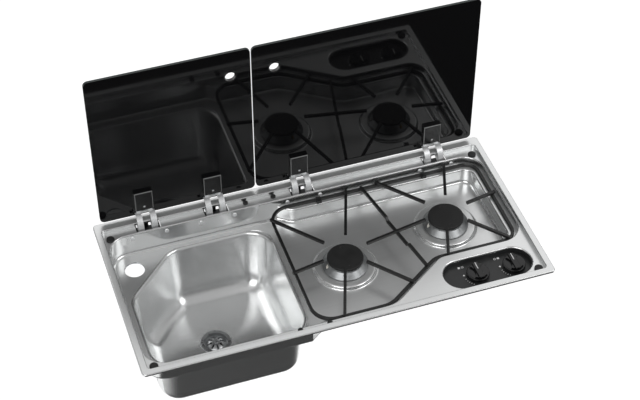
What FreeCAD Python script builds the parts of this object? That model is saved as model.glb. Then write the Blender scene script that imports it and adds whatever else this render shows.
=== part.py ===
import FreeCAD
import Part
import math
import os

from FreeCAD import Placement, Rotation, Vector

# Drop-in hob and sink unit. Millimetres, +Z up, X to the right, Y to the back.
# The origin is the middle of the plate, at the level of the worktop under the rim.
# Every drop is measured down from the top of the rim.

# Plate and rim
PLATE_W = 760.0
PLATE_D = 374.0
PLATE_R = 7.0
SMALLEST_R = 0.5
RIM_H = 4.5
RIM_EDGE_R = 2.0
RIM_INNER_R = 1.6
SHEET = 1.0
RIM_SIDE = 12.5
RIM_FRONT = 12.5
RIM_BACK = 20.0
RECESS_R = 6.0
LEDGE_DROP = 9.0

# Basin below the ledge
LEDGE_SIDE = 3.0
LEDGE_FRONT = 12.5
LEDGE_BACK = 17.5
BASIN_R = 38.0
BASIN_EDGE_R = 2.5
FLOOR_DROP = 57.0
FLOOR_R = 7.0

# Control plateau in the front right corner, with its slanted side
PLATEAU_W = 166.5
PLATEAU_D = 80.0
PLATEAU_RUN = 114.0
PLATEAU_FRONT_R = 60.0
PLATEAU_R = 28.0

# Shelf that carries the pan support
SHELF_DROP = 25.4
SHELF_W = 18.0
SHELF_EDGE_R = 3.0
SHELF_FRONT_RUN = 409.5
SHELF_BACK_RUN = 376.5
SHELF_RAMP = 25.0
SHELF_RAMP_R = 26.0

# Sink bowl
BOWL_W = 279.0
BOWL_D = 265.0
BOWL_LEFT = 19.5
BOWL_FRONT = 28.0
BOWL_R = 46.0
BOWL_CUT = 96.0
BOWL_DEPTH = 125.0
BOWL_DRAFT = 5.5
BOWL_BOTTOM_R = 32.0
BOWL_FOOT_SHARE = 0.7
BOWL_ROLL = 6.0
BOWL_FLANGE = 6.0
TAP_HOLE_R = 18.3
TAP_HOLE_EASE = 0.2
TAP_PLATE_R = 23.0
TAP_PLATE_T = 2.0
TAP_HOLE_LEFT = 40.5
TAP_HOLE_BACK = 42.0

# Waste
WASTE_LEFT = 138.0
WASTE_FRONT = 131.0
WASTE_HOLE_R = 24.0
WASTE_FLANGE_R = 29.5
WASTE_FLANGE_T = 1.6
WASTE_DISH = 6.0
WASTE_WALL = 1.5
STRAINER_R = 18.5
STRAINER_RISE = 4.5
STRAINER_SLOTS = 8
STRAINER_SLOT_IN = 7.8
STRAINER_SLOT_OUT = 15.9
STRAINER_SLOT_W = 3.2
WASTE_SCREW_R = 4.5
WASTE_SHANK_R = 2.5
WASTE_SHANK_CLEARANCE = 0.1
WASTE_HEAD_H = 2.0
WASTE_HEAD_EDGE_R = 0.8
WASTE_NUT_H = 3.0
WASTE_BAR_W = 8.0
WASTE_CLEARANCE = 0.5
WASTE_BODY_R = 30.0
WASTE_BODY_H = 20.0
SPIGOT_R = 12.5
SPIGOT_BORE_R = 10.5
SPIGOT_H = 24.0
GASKET_T = 2.0

# Lids
LID_T = 5.0
LID_BACK_GAP = 3.4
LID_R = 9.0
HOB_LID_RUN = 435.2
LID_GAP = 2.7
LID_MARGIN = 3.1
LID_FOOT = 6.0
LID_REST = 5.0
FINGER_HOLE_R = 10.5
FINGER_HOLE_DROP = 53.5
SINK_FINGER_HOLE_IN = 37.5
HOB_FINGER_HOLE_IN = 40.7
FINGER_RING_R = 12.5
FINGER_RING_WALL = 1.0
FINGER_RING_LIP = 0.8

# Lid hinges
HINGE_INSET = 82.5
LEAF_W = 30.0
LEAF_T = 2.2
LEAF_TOP = 60.0
LEAF_FOOT = 10.5
PAD_T = 0.5
STRAP_W = 11.0
STRAP_PITCH = 26.0
STRAP_R = 21.0
STRAP_T = 2.4
STRAP_ANGLE = 106.0
LEAF_SLOT_W = 8.0
LEAF_SLOT_R = 1.8
EYE_R = 4.0
PIN_R = 2.0
PIN_CLEARANCE = 0.3
COVER_W = 31.0
COVER_T = 7.5
COVER_FOOT = 21.5
COVER_H = 43.0
COVER_WALL = 1.6
COVER_EDGE_R = 2.4
COVER_SCREW_R = 2.2
COVER_SCREW_UP = 8.0
COVER_SCREW_SINK = 0.8
COVER_SOCKET = 1.2
SLOT_W = 46.0
SLOT_FRONT = 3.5
SLOT_RISE = 4.0
BRACKET_T = 2.0
BRACKET_W = 78.0
BRACKET_H = 22.0
BRACKET_DROP = 12.5
BRACKET_LIP = 11.0
EAR_GAP = 2.0
SCREW_PITCH = 64.6
SCREW_DROP = 19.5
SCREW_R = 2.0
SCREW_HEAD_R = 4.0
SCREW_HEAD_H = 1.8
SCREW_HEAD_EDGE_R = 1.08
SCREW_SLOT_L = 4.0
SCREW_SLOT_W = 0.8
SCREW_SLOT_DEPTH = 0.7
SCREW_CLEARANCE = 0.15
NUT_R = 4.0
NUT_H = 3.0

# Bumpers
BUMPER_R = 7.7
BUMPER_SIDE = 12.0
BUMPER_BACK = 18.5
BUMPER_FRONT = 8.6
PEG_R = 4.8
PEG_SPREAD = 54.0
PEG_INSET = 5.8
STEM_R = 2.5
STEM_H = 5.0
BUMPER_EDGE_R = 1.6

# Seal under the rim
SEAL_W = 4.5
SEAL_GAP = 0.6

# Weld seams of the top, clear of every bend
SEAM_GAP = 2.0

# Control panel, knobs and gas taps
OVAL_W = 167.0
OVAL_D = 66.5
OVAL_RIGHT = 10.5
OVAL_FRONT = 7.6
OVAL_COLLAR = 4.0
OVAL_EDGE_R = 3.0
PANEL_DROP = 22.6
PANEL_T = 2.0
PANEL_FLANGE = 6.0
KNOB_PITCH = 70.0
KNOB_RIGHT = 31.5
KNOB_R = 21.0
KNOB_GAP = 3.6
KNOB_BASE_H = 4.5
KNOB_DISC_R = 18.5
KNOB_DISC_H = 4.0
KNOB_GRIP_W = 11.0
KNOB_GRIP_L = 38.0
KNOB_GRIP_H = 6.4
KNOB_EDGE_R = 1.2
KNOB_TAPER = 1.5
KNOB_SCOOP_LIFT = 0.5
KNOB_TRAVEL = 3.0
SPINDLE_R = 4.0
SPINDLE_CLEARANCE = 0.1
SPINDLE_HOLE_GAP = 2.0
SPINDLE_SEAT = 6.0
SPINDLE_L = 24.0
TAP_R = 9.0
TAP_H = 21.0
TAP_FLANGE_R = 12.0
TAP_FLANGE_T = 2.5
PLUNGER_R = 7.0
PLUNGER_H = 4.0
PLUNGER_CLEARANCE = 0.3
PLUNGER_STOP = 0.5
TAP_BRACKET_T = 2.0
TAP_BRACKET_D = 34.0
TAP_SCREW_R = 1.6
TAP_SCREW_PITCH = 37.0
MANIFOLD_R = 5.0
MANIFOLD_LET_IN = 1.0
MANIFOLD_DROP = 37.5
INLET_R = 4.0
INLET_L = 24.0
INLET_OUT = 12.0
INLET_BORE_R = 2.2
PIPE_R = 3.0
PIPE_FOOT = 4.0
PIPE_1_LEAD = 24.0
PIPE_2_LEAD = 36.0
PIPE_RUN_DROP = 72.0

# Burners
BURNER_1_RIGHT = 321.3
BURNER_1_BACK = 158.8
BURNER_2_RIGHT = 108.8
BURNER_2_BACK = 119.8
BURNER_HOLE_R = 41.0
BOSS_H = 7.0
BOSS_TOP_R = 53.5
BOSS_FOOT_R = 61.8
CAP_R = 33.5
CAP_T = 4.6
CAP_DROP = 29.0
CAP_EDGE_R = 1.6
CAP_SEAT = 2.0
DIMPLE_RING = 24.0
DIMPLE_R = 2.4
DIMPLE_DEPTH = 0.9
SPREADER_R = 39.5
SPREADER_TOP_R = 31.0
SPREADER_WALL = 5.0
SKIRT_R = 42.8
SKIRT_GAP = 1.8
SKIRT_EDGE = 1.5
SPREADER_PORTS = 30
PORT_W = 2.2
PORT_H = 2.6
PORT_LIP = 2.0
BODY_FLANGE_R = 45.0
BODY_FLANGE_T = 2.0
BODY_R = 30.0
BODY_H = 26.0
BODY_WALL = 2.5
ELBOW_R = 7.0
ELBOW_L = 44.0
ELBOW_SOCKET = 6.0
PROBE_RING = 36.0
PROBE_R = 2.4
PROBE_TIP_R = 1.1
PROBE_TIP_H = 4.0
PROBE_DROP = 35.5
PROBE_CLEARANCE = 0.5
PROBE_HOLE_RISE = 12.0
ELECTRODE_ANGLE = 186.0
THERMOCOUPLE_ANGLE = 70.0

# Pan support
BAR_W = 5.5
BAR_EDGE_R = 0.7
WIRE_GAP = 11.5
WIRE_BACK_GAP = 8.0
SUPPORT_W = 414.5
SUPPORT_R = 38.0
FINGER_REACH = 45.5
FINGER_TURN = 10.4
FINGER_OVERHANG = 5.5
DIVIDER_BACK_RIGHT = 238.3
DIVIDER_FRONT_RIGHT = 178.0
DIVIDER_DIP = 34.0
CLIP_W = 9.0
CLIP_D = 9.0
CLIP_LIP = 1.5
CLIP_1_RIGHT = 323.0
CLIP_2_RIGHT = 112.5

# Levels and edges that follow from the sizes above
LEDGE_Z = RIM_H - LEDGE_DROP
SHELF_Z = RIM_H - SHELF_DROP
FLOOR_Z = RIM_H - FLOOR_DROP
BOSS_Z = FLOOR_Z + BOSS_H
BOWL_Z = FLOOR_Z - BOWL_DEPTH
PANEL_Z = RIM_H - PANEL_DROP
CAP_Z = RIM_H - CAP_DROP
RECESS_LEFT = RIM_SIDE - PLATE_W / 2
RECESS_RIGHT = PLATE_W / 2 - RIM_SIDE
RECESS_FRONT = RIM_FRONT - PLATE_D / 2
RECESS_BACK = PLATE_D / 2 - RIM_BACK
BASIN_LEFT = RECESS_LEFT + LEDGE_SIDE
BASIN_RIGHT = RECESS_RIGHT - LEDGE_SIDE
BASIN_FRONT = RECESS_FRONT + LEDGE_FRONT
BASIN_BACK = RECESS_BACK - LEDGE_BACK
BOWL_X = BASIN_LEFT + BOWL_LEFT
BOWL_Y = BASIN_FRONT + BOWL_FRONT
WASTE_X = BOWL_X + WASTE_LEFT
WASTE_Y = BOWL_Y + WASTE_FRONT
TAP_HOLE_X = BASIN_LEFT + TAP_HOLE_LEFT
TAP_HOLE_Y = BASIN_BACK - TAP_HOLE_BACK
SHELF_FRONT_X = BASIN_RIGHT - SHELF_FRONT_RUN
SHELF_BACK_X = BASIN_RIGHT - SHELF_BACK_RUN
SUPPORT_RIGHT_X = BASIN_RIGHT - WIRE_BACK_GAP
SUPPORT_LEFT_X = SUPPORT_RIGHT_X - SUPPORT_W
SUPPORT_BACK_Y = BASIN_BACK - WIRE_BACK_GAP

# Lid faces and the hinge axis that takes a lid from upright to flush in the recess
LID_FACE_Y = PLATE_D / 2 - LID_T
LID_FOOT_Z = RIM_H + LID_FOOT
LID_H = RECESS_BACK - RECESS_FRONT - LID_MARGIN - LID_BACK_GAP
LID_SPLIT_X = RECESS_RIGHT - HOB_LID_RUN
LID_TOP_Z = LID_FOOT_Z + LID_H
CLOSED_FRONT_Y = RECESS_FRONT + LID_MARGIN
CLOSED_UNDER_Z = RIM_H - LID_REST
AXIS_SUM = CLOSED_FRONT_Y + LID_TOP_Z
AXIS_DIFF = LID_FACE_Y - CLOSED_UNDER_Z
AXIS_Y = (AXIS_SUM + AXIS_DIFF) / 2
AXIS_Z = (AXIS_SUM - AXIS_DIFF) / 2

OVAL_X = BASIN_RIGHT - OVAL_RIGHT - OVAL_W / 2
OVAL_Y = RECESS_FRONT + OVAL_FRONT + OVAL_D / 2
KNOB_X = (OVAL_X + OVAL_W / 2 - KNOB_RIGHT - KNOB_PITCH, OVAL_X + OVAL_W / 2 - KNOB_RIGHT)
KNOB_BASE_Z = PANEL_Z + KNOB_GAP
TAP_TOP_Z = PANEL_Z - PANEL_T - TAP_BRACKET_T
BURNERS = (
    (BASIN_RIGHT - BURNER_1_RIGHT, BASIN_BACK - BURNER_1_BACK),
    (BASIN_RIGHT - BURNER_2_RIGHT, BASIN_BACK - BURNER_2_BACK),
)
BUMPER_H = LEDGE_DROP - LID_REST
WIRE_Z = SHELF_Z + BAR_W / 2
FINGER_Z = WIRE_Z + BAR_W
UP = Vector(0, 0, 1)


# Outlines: closed loops of corners (x, y, radius), listed anticlockwise

def corner_arc(before, corner, after):
    """Tangent points, middle and centre of the arc that rounds one corner."""
    here = Vector(corner[0], corner[1], 0)
    back = (Vector(before[0], before[1], 0) - here).normalize()
    ahead = (Vector(after[0], after[1], 0) - here).normalize()
    half = back.getAngle(ahead) / 2
    reach = corner[2] / math.tan(half)
    bisector = (back + ahead).normalize()
    centre = here + bisector * (corner[2] / math.sin(half))
    middle = centre - bisector * corner[2]
    return here + back * reach, middle, here + ahead * reach, centre


def loop(corners, z):
    """Closed wire of straight sides and round corners at one height."""
    arcs = []
    for i, corner in enumerate(corners):
        arcs.append(corner_arc(corners[i - 1], corner, corners[(i + 1) % len(corners)]))
    edges = []
    for i, (start, middle, end, _) in enumerate(arcs):
        edges.append(Part.Arc(start, middle, end).toShape())
        edges.append(Part.makeLine(end, arcs[(i + 1) % len(arcs)][0]))
    wire = Part.Wire(edges)
    wire.translate(Vector(0, 0, z))
    return wire


def inset(corners, distance):
    """The same outline moved inwards, with its corners kept concentric."""
    moved = []
    for i, corner in enumerate(corners):
        here = Vector(corner[0], corner[1], 0)
        before = Vector(corners[i - 1][0], corners[i - 1][1], 0)
        after_corner = corners[(i + 1) % len(corners)]
        after = Vector(after_corner[0], after_corner[1], 0)
        arriving = (here - before).normalize()
        leaving = (after - here).normalize()
        turn = arriving.cross(leaving).z
        normal = UP.cross(arriving) + UP.cross(leaving)
        shift = normal * (distance / (1 + arriving.dot(leaving)))
        radius = max(corner[2] - math.copysign(distance, turn), SMALLEST_R)
        moved.append((here.x + shift.x, here.y + shift.y, radius))
    return moved


def box_outline(x0, y0, x1, y1, radius):
    return [(x0, y0, radius), (x1, y0, radius), (x1, y1, radius), (x0, y1, radius)]


def prism(corners, z0, z1):
    return Part.Face(loop(corners, z0)).extrude(Vector(0, 0, z1 - z0))


def edges_along(shape, corners, z):
    """Edges of a shape that lie on an outline at one height."""
    wire = loop(corners, z)
    found = []
    for edge in shape.Edges:
        middle = edge.valueAt((edge.FirstParameter + edge.LastParameter) / 2)
        if abs(middle.z - z) < 1e-4 and wire.distToShape(Part.Vertex(middle))[0] < 1e-3:
            found.append(edge)
    return found


def profile(points):
    """Face in the XZ plane from points (n, z); an arc is given by its middle point, marked 'arc'."""
    edges = []
    here = Vector(points[0][0], 0, points[0][1])
    i = 1
    while i < len(points):
        target = Vector(points[i][0], 0, points[i][1])
        if len(points[i]) == 3:
            end = Vector(points[i + 1][0], 0, points[i + 1][1])
            edges.append(Part.Arc(here, target, end).toShape())
            here = end
            i += 2
        else:
            edges.append(Part.makeLine(here, target))
            here = target
            i += 1
    first = Vector(points[0][0], 0, points[0][1])
    if here.distanceToPoint(first) > 1e-6:
        edges.append(Part.makeLine(here, first))
    return Part.Face(Part.Wire(edges))


def skirt(corners, section, closed=True):
    """Section drawn in (outward, up) carried along the sides and corners of an outline."""
    count = len(corners)
    arcs = {}
    for i in range(count) if closed else range(1, count - 1):
        arcs[i] = corner_arc(corners[i - 1], corners[i], corners[(i + 1) % count])
    pieces = []
    for i in range(count if closed else count - 1):
        after = (i + 1) % count
        start = arcs[i][2] if i in arcs else Vector(corners[i][0], corners[i][1], 0)
        end = arcs[after][0] if after in arcs else Vector(corners[after][0], corners[after][1], 0)
        run = end - start
        heading = math.degrees(math.atan2(run.y, run.x))
        placed = section.copy()
        placed.Placement = Placement(start, Rotation(UP, heading - 90))
        pieces.append(placed.extrude(run))
        if after in arcs:
            beyond = corners[(after + 1) % count]
            leaving = Vector(beyond[0], beyond[1], 0) - Vector(corners[after][0], corners[after][1], 0)
            turn = math.degrees(run.getAngle(leaving))
            turn = math.copysign(turn, run.cross(leaving).z)
            placed = section.copy()
            placed.Placement = Placement(end, Rotation(UP, heading - 90))
            pieces.append(placed.revolve(arcs[after][3], UP, turn))
    return pieces[0].fuse(pieces[1:]).removeSplitter()


# Small solids

def disc(x, y, z, radius, height):
    return Part.makeCylinder(radius, height, Vector(x, y, z))


def rod(start, end, radius):
    return Part.makeCylinder(radius, start.distanceToPoint(end), start, end - start)


def tube(points, radius):
    """Round bar through points, with ball corners."""
    solid = rod(points[0], points[1], radius)
    for i in range(1, len(points) - 1):
        solid = solid.fuse([Part.makeSphere(radius, points[i]), rod(points[i], points[i + 1], radius)])
    return solid.removeSplitter()


def turned(points, x, y):
    """Solid of revolution about a vertical axis, from a section in (radius, z)."""
    solid = profile(points).revolve(Vector(0, 0, 0), UP, 360)
    solid.translate(Vector(x, y, 0))
    return solid


def block(x0, x1, y0, y1, z0, z1):
    return Part.makeBox(x1 - x0, y1 - y0, z1 - z0, Vector(x0, y0, z0))


def side_plate(points, x, thickness):
    """Flat plate drawn in (y, z), standing across X."""
    corners = [Vector(x, y, z) for y, z in points]
    return Part.Face(Part.makePolygon(corners + corners[:1])).extrude(Vector(thickness, 0, 0))


def stadium(width, depth, x, y, grow):
    radius = depth / 2 + grow
    half = width / 2 + grow
    return box_outline(x - half, y - radius, x + half, y + radius, radius - 0.01)


def group(solids):
    return solids[0] if len(solids) == 1 else Part.makeCompound(solids)


# Outlines of the pressed top

PLATE = box_outline(-PLATE_W / 2, -PLATE_D / 2, PLATE_W / 2, PLATE_D / 2, PLATE_R)
RECESS = box_outline(RECESS_LEFT, RECESS_FRONT, RECESS_RIGHT, RECESS_BACK, RECESS_R)
BASIN = [
    (BASIN_LEFT, BASIN_FRONT, BASIN_R),
    (BASIN_RIGHT - PLATEAU_W - PLATEAU_RUN, BASIN_FRONT, PLATEAU_FRONT_R),
    (BASIN_RIGHT - PLATEAU_W, BASIN_FRONT + PLATEAU_D, PLATEAU_R),
    (BASIN_RIGHT, BASIN_FRONT + PLATEAU_D, BASIN_R),
    (BASIN_RIGHT, BASIN_BACK, BASIN_R),
    (BASIN_LEFT, BASIN_BACK, BASIN_R),
]
SHELF_EDGE = inset(BASIN, SHELF_W)
SHELF_PATH = [
    (SHELF_FRONT_X - 2 * SHELF_RAMP, BASIN_FRONT - SHELF_W, 0),
    (SHELF_FRONT_X, BASIN_FRONT + SHELF_W, SHELF_RAMP_R),
] + SHELF_EDGE[1:5] + [
    (SHELF_BACK_X, BASIN_BACK - SHELF_W, SHELF_RAMP_R),
    (SHELF_BACK_X - 2 * SHELF_RAMP, BASIN_BACK + SHELF_W, 0),
]
OVAL = stadium(OVAL_W, OVAL_D, OVAL_X, OVAL_Y, 0)
BOWL = [
    (BOWL_X, BOWL_Y, BOWL_R),
    (BOWL_X + BOWL_W, BOWL_Y, BOWL_R),
    (BOWL_X + BOWL_W, BOWL_Y + BOWL_D, BOWL_R),
    (BOWL_X + BOWL_CUT, BOWL_Y + BOWL_D, BOWL_R),
    (BOWL_X, BOWL_Y + BOWL_D - BOWL_CUT, BOWL_R),
]
SUPPORT_SIDE = inset(BASIN, WIRE_GAP)
SUPPORT = [
    (SUPPORT_LEFT_X, BASIN_FRONT + WIRE_GAP, SUPPORT_R),
    SUPPORT_SIDE[1],
    SUPPORT_SIDE[2],
    (SUPPORT_RIGHT_X, SUPPORT_SIDE[3][1], SUPPORT_SIDE[3][2]),
    (SUPPORT_RIGHT_X, SUPPORT_BACK_Y, SUPPORT_SIDE[4][2]),
    (SUPPORT_LEFT_X, SUPPORT_BACK_Y, SUPPORT_R),
]


# Hinge places: left and right hinge of the sink lid, then of the hob lid

SINK_LID_X = (RECESS_LEFT + LID_MARGIN, LID_SPLIT_X - LID_GAP / 2)
HOB_LID_X = (LID_SPLIT_X + LID_GAP / 2, RECESS_RIGHT - LID_MARGIN)
SINK_HINGES = [SINK_LID_X[0] + HINGE_INSET, SINK_LID_X[1] - HINGE_INSET]
HOB_HINGES = [HOB_LID_X[0] + HINGE_INSET, HOB_LID_X[1] - HINGE_INSET]
HINGES = SINK_HINGES + HOB_HINGES
WALL_BACK_Y = BASIN_BACK + SHEET


# Pressed top plate

def pan(grow):
    """Recess and basin as one solid, grown outwards for the outside of the sheet."""
    ledge = LEDGE_Z - grow
    floor = FLOOR_Z - grow
    outline = inset(BASIN, -grow)
    rim = inset(RECESS, -grow)
    collar = inset(OVAL, -grow)
    basin = prism(outline, floor, ledge)
    basin = basin.makeFillet(FLOOR_R + grow, edges_along(basin, outline, floor))
    solid = prism(rim, ledge, RIM_H).fuse([basin, prism(collar, LEDGE_Z - OVAL_COLLAR, ledge)])
    solid = solid.removeSplitter()
    solid = solid.makeFillet(BASIN_EDGE_R - grow, edges_along(solid, outline, ledge))
    solid = solid.makeFillet(OVAL_EDGE_R - grow, edges_along(solid, collar, ledge))
    return solid.cut([shelf_block(grow)] + [boss(grow, x, y) for x, y in BURNERS])


def shelf_block(grow):
    """Bank below the shelf: rounded shelf edge, upright wall and round foot."""
    edge = SHELF_EDGE_R - grow
    foot = FLOOR_R + grow
    diagonal = math.sqrt(0.5)
    far = SHELF_W + 4 * SHEET
    under = FLOOR_Z - grow
    edge_z = SHELF_Z - SHELF_EDGE_R
    foot_z = FLOOR_Z + FLOOR_R
    section = profile([
        (far, SHELF_Z - grow),
        (SHELF_EDGE_R, SHELF_Z - grow),
        (SHELF_EDGE_R - edge * diagonal, edge_z + edge * diagonal, "arc"),
        (grow, edge_z),
        (grow, foot_z),
        (-FLOOR_R + foot * diagonal, foot_z - foot * diagonal, "arc"),
        (-FLOOR_R, under),
        (-FLOOR_R, under - SHEET),
        (far, under - SHEET),
    ])
    return skirt(SHELF_PATH, section, closed=False)


def boss(grow, x, y):
    """Bank below the raised seat of a burner, with a side that bends out and in again."""
    run = BOSS_FOOT_R - BOSS_TOP_R
    bend = (run * run + BOSS_H * BOSS_H) / (4 * BOSS_H)
    turn = 2 * math.atan(BOSS_H / run)
    edge_r = bend - grow
    foot_r = bend + grow
    under = FLOOR_Z - grow - SHEET

    def edge(angle):
        return BOSS_TOP_R + edge_r * math.sin(angle), BOSS_Z - bend + edge_r * math.cos(angle)

    def foot(angle):
        return BOSS_FOOT_R - foot_r * math.sin(angle), FLOOR_Z + bend - foot_r * math.cos(angle)

    return turned([
        (0, BOSS_Z - grow),
        edge(0),
        edge(turn / 2) + ("arc",),
        edge(turn),
        foot(turn / 2) + ("arc",),
        foot(0),
        (BOSS_FOOT_R, under),
        (0, under),
    ], x, y)


def make_pressing():
    """Rim, recess, ledge, basin and shelf before the seams part them."""
    rim = prism(PLATE, 0, RIM_H)
    rim = rim.makeFillet(RIM_EDGE_R, edges_along(rim, PLATE, RIM_H))
    rim = rim.cut(prism(inset(PLATE, SHEET), -SHEET, RIM_H - SHEET))
    plate = rim.fuse(pan(SHEET)).cut(pan(0))
    plate = plate.makeFillet(RIM_INNER_R, edges_along(plate, RECESS, RIM_H))
    below = FLOOR_Z - 3 * SHEET
    cuts = [disc(x, y, below, BURNER_HOLE_R, BOSS_Z + SHEET - below) for x, y in BURNERS]
    cuts.append(disc(TAP_HOLE_X, TAP_HOLE_Y, below, TAP_HOLE_R + TAP_HOLE_EASE, FLOOR_Z + SHEET - below))
    cuts.append(prism(inset(BOWL, -BOWL_ROLL), below, FLOOR_Z + SHEET))
    cuts.append(prism(OVAL, LEDGE_Z - OVAL_COLLAR - 3 * SHEET, LEDGE_Z - OVAL_COLLAR + SHEET))
    for x in HINGES:
        cuts.append(block(x - SLOT_W / 2, x + SLOT_W / 2, BASIN_BACK + SLOT_FRONT, RECESS_BACK + 2 * SHEET,
                          LEDGE_Z - 3 * SHEET, LEDGE_Z + SLOT_RISE))
        for side in (-1, 1):
            front = screw_point(x, side, -SHEET)
            cuts.append(rod(front, screw_point(x, side, 3 * SHEET), SCREW_R + SCREW_CLEARANCE))
    for x, y, _ in bumper_places():
        cuts.append(disc(x, y, LEDGE_Z - 3 * SHEET, STEM_R + SCREW_CLEARANCE, 6 * SHEET))
    return plate.cut(cuts)


def flat_floor():
    """Upright block over the flat of the floor, clear of the foot of every wall."""
    reach = FLOOR_R + SEAM_GAP
    far = SHELF_W + 4 * SHEET
    low = FLOOR_Z - 3 * SHEET
    high = BOSS_Z + SHEET
    section = profile([(-reach, low), (far, low), (far, high), (-reach, high)])
    return prism(inset(BASIN, reach), low, high).cut(skirt(SHELF_PATH, section, closed=False))


def make_top():
    """Rim with its ledge, and the wall and floor of the sink and of the hob, welded along plain seams."""
    pressing = make_pressing()
    seam_z = LEDGE_Z - max(OVAL_COLLAR, BASIN_EDGE_R) - SEAM_GAP
    seam_x = (BOWL_X + BOWL_W + BOWL_ROLL + BURNERS[0][0] - BOSS_FOOT_R) / 2
    around = inset(PLATE, -SHEET)
    bottom = FLOOR_Z - 2 * SHEET
    flat = flat_floor()
    floor = pressing.common(flat)
    wall = pressing.common(prism(around, bottom, seam_z)).cut(flat)
    sink_side = block(-PLATE_W, seam_x, -PLATE_D, PLATE_D, bottom, RIM_H)
    return {
        "top_plate": pressing.common(prism(around, seam_z, RIM_H + SHEET)),
        "sink_wall": wall.common(sink_side),
        "hob_wall": wall.cut(sink_side),
        "sink_deck": floor.common(sink_side),
        "hob_floor": floor.cut(sink_side),
    }


def make_tap_plate():
    """Ring welded under the deck that stiffens the tap hole."""
    low = FLOOR_Z - SHEET - TAP_PLATE_T
    ring = disc(TAP_HOLE_X, TAP_HOLE_Y, low, TAP_PLATE_R, TAP_PLATE_T)
    return ring.cut(disc(TAP_HOLE_X, TAP_HOLE_Y, low - 1, TAP_HOLE_R, TAP_PLATE_T + 2))


def screw_point(x, side, behind):
    """A point on a bracket screw's axis, at a distance behind the face of the basin's back wall."""
    return Vector(x + side * SCREW_PITCH / 2, BASIN_BACK + behind, RIM_H - SCREW_DROP)


# Sink bowl and waste

def make_sink_bowl():
    """Deep bowl with a rolled edge, a welding flange and a foot no wider than its corners allow."""
    slope = math.radians(BOWL_DRAFT)
    rise = math.tan(slope)
    foot_r = min(BOWL_BOTTOM_R, BOWL_FOOT_SHARE * BOWL_R)

    def section(grow):
        """Inside line of the wall, or its outside line, from the deck down to the bottom."""
        roll = BOWL_ROLL - grow
        foot = foot_r + grow
        bend = math.radians(180) - slope
        halfway = (math.radians(90) + bend) / 2
        top_n = BOWL_ROLL * (1 - math.cos(slope))
        top_z = FLOOR_Z - BOWL_ROLL + BOWL_ROLL * math.sin(slope)
        low_z = BOWL_Z + foot_r * (1 - math.sin(slope))
        low_n = top_n - rise * (top_z - low_z)
        foot_n = low_n - foot_r * math.cos(slope)
        foot_z = BOWL_Z + foot_r
        turn = -(math.radians(90) + slope) / 2
        return [
            (BOWL_ROLL, FLOOR_Z - grow),
            (BOWL_ROLL + roll * math.cos(halfway), FLOOR_Z - BOWL_ROLL + roll * math.sin(halfway), "arc"),
            (BOWL_ROLL + roll * math.cos(bend), FLOOR_Z - BOWL_ROLL + roll * math.sin(bend)),
            (foot_n + foot * math.cos(slope), foot_z - foot * math.sin(slope)),
            (foot_n + foot * math.cos(turn), foot_z + foot * math.sin(turn), "arc"),
            (foot_n, BOWL_Z - grow),
        ]

    inside = section(0)
    outside = section(SHEET)
    back = [outside[5], outside[4], outside[3], outside[2], outside[1], outside[0]]
    wall = skirt(BOWL, profile(inside + back))
    flange = skirt(BOWL, profile([
        (BOWL_ROLL - 2 * SHEET, FLOOR_Z - SHEET),
        (BOWL_ROLL + BOWL_FLANGE, FLOOR_Z - SHEET),
        (BOWL_ROLL + BOWL_FLANGE, FLOOR_Z - 2 * SHEET),
        (BOWL_ROLL - 2 * SHEET, FLOOR_Z - 2 * SHEET),
    ]))
    bottom = prism(inset(BOWL, -inside[5][0]), BOWL_Z - SHEET, BOWL_Z)
    bottom = bottom.cut(disc(WASTE_X, WASTE_Y, BOWL_Z - 3 * SHEET, WASTE_HOLE_R, 6 * SHEET))
    return wall.fuse([flange, bottom]).removeSplitter()


def dome_middle(flat_r, top, edge_r, low):
    """Middle of an arc that leaves a flat crown level and falls to the edge."""
    run = edge_r - flat_r
    drop = top - low
    radius = (run * run + drop * drop) / (2 * drop)
    half = math.asin(run / radius) / 2
    return flat_r + radius * math.sin(half), top - radius * (1 - math.cos(half)), "arc"


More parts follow.
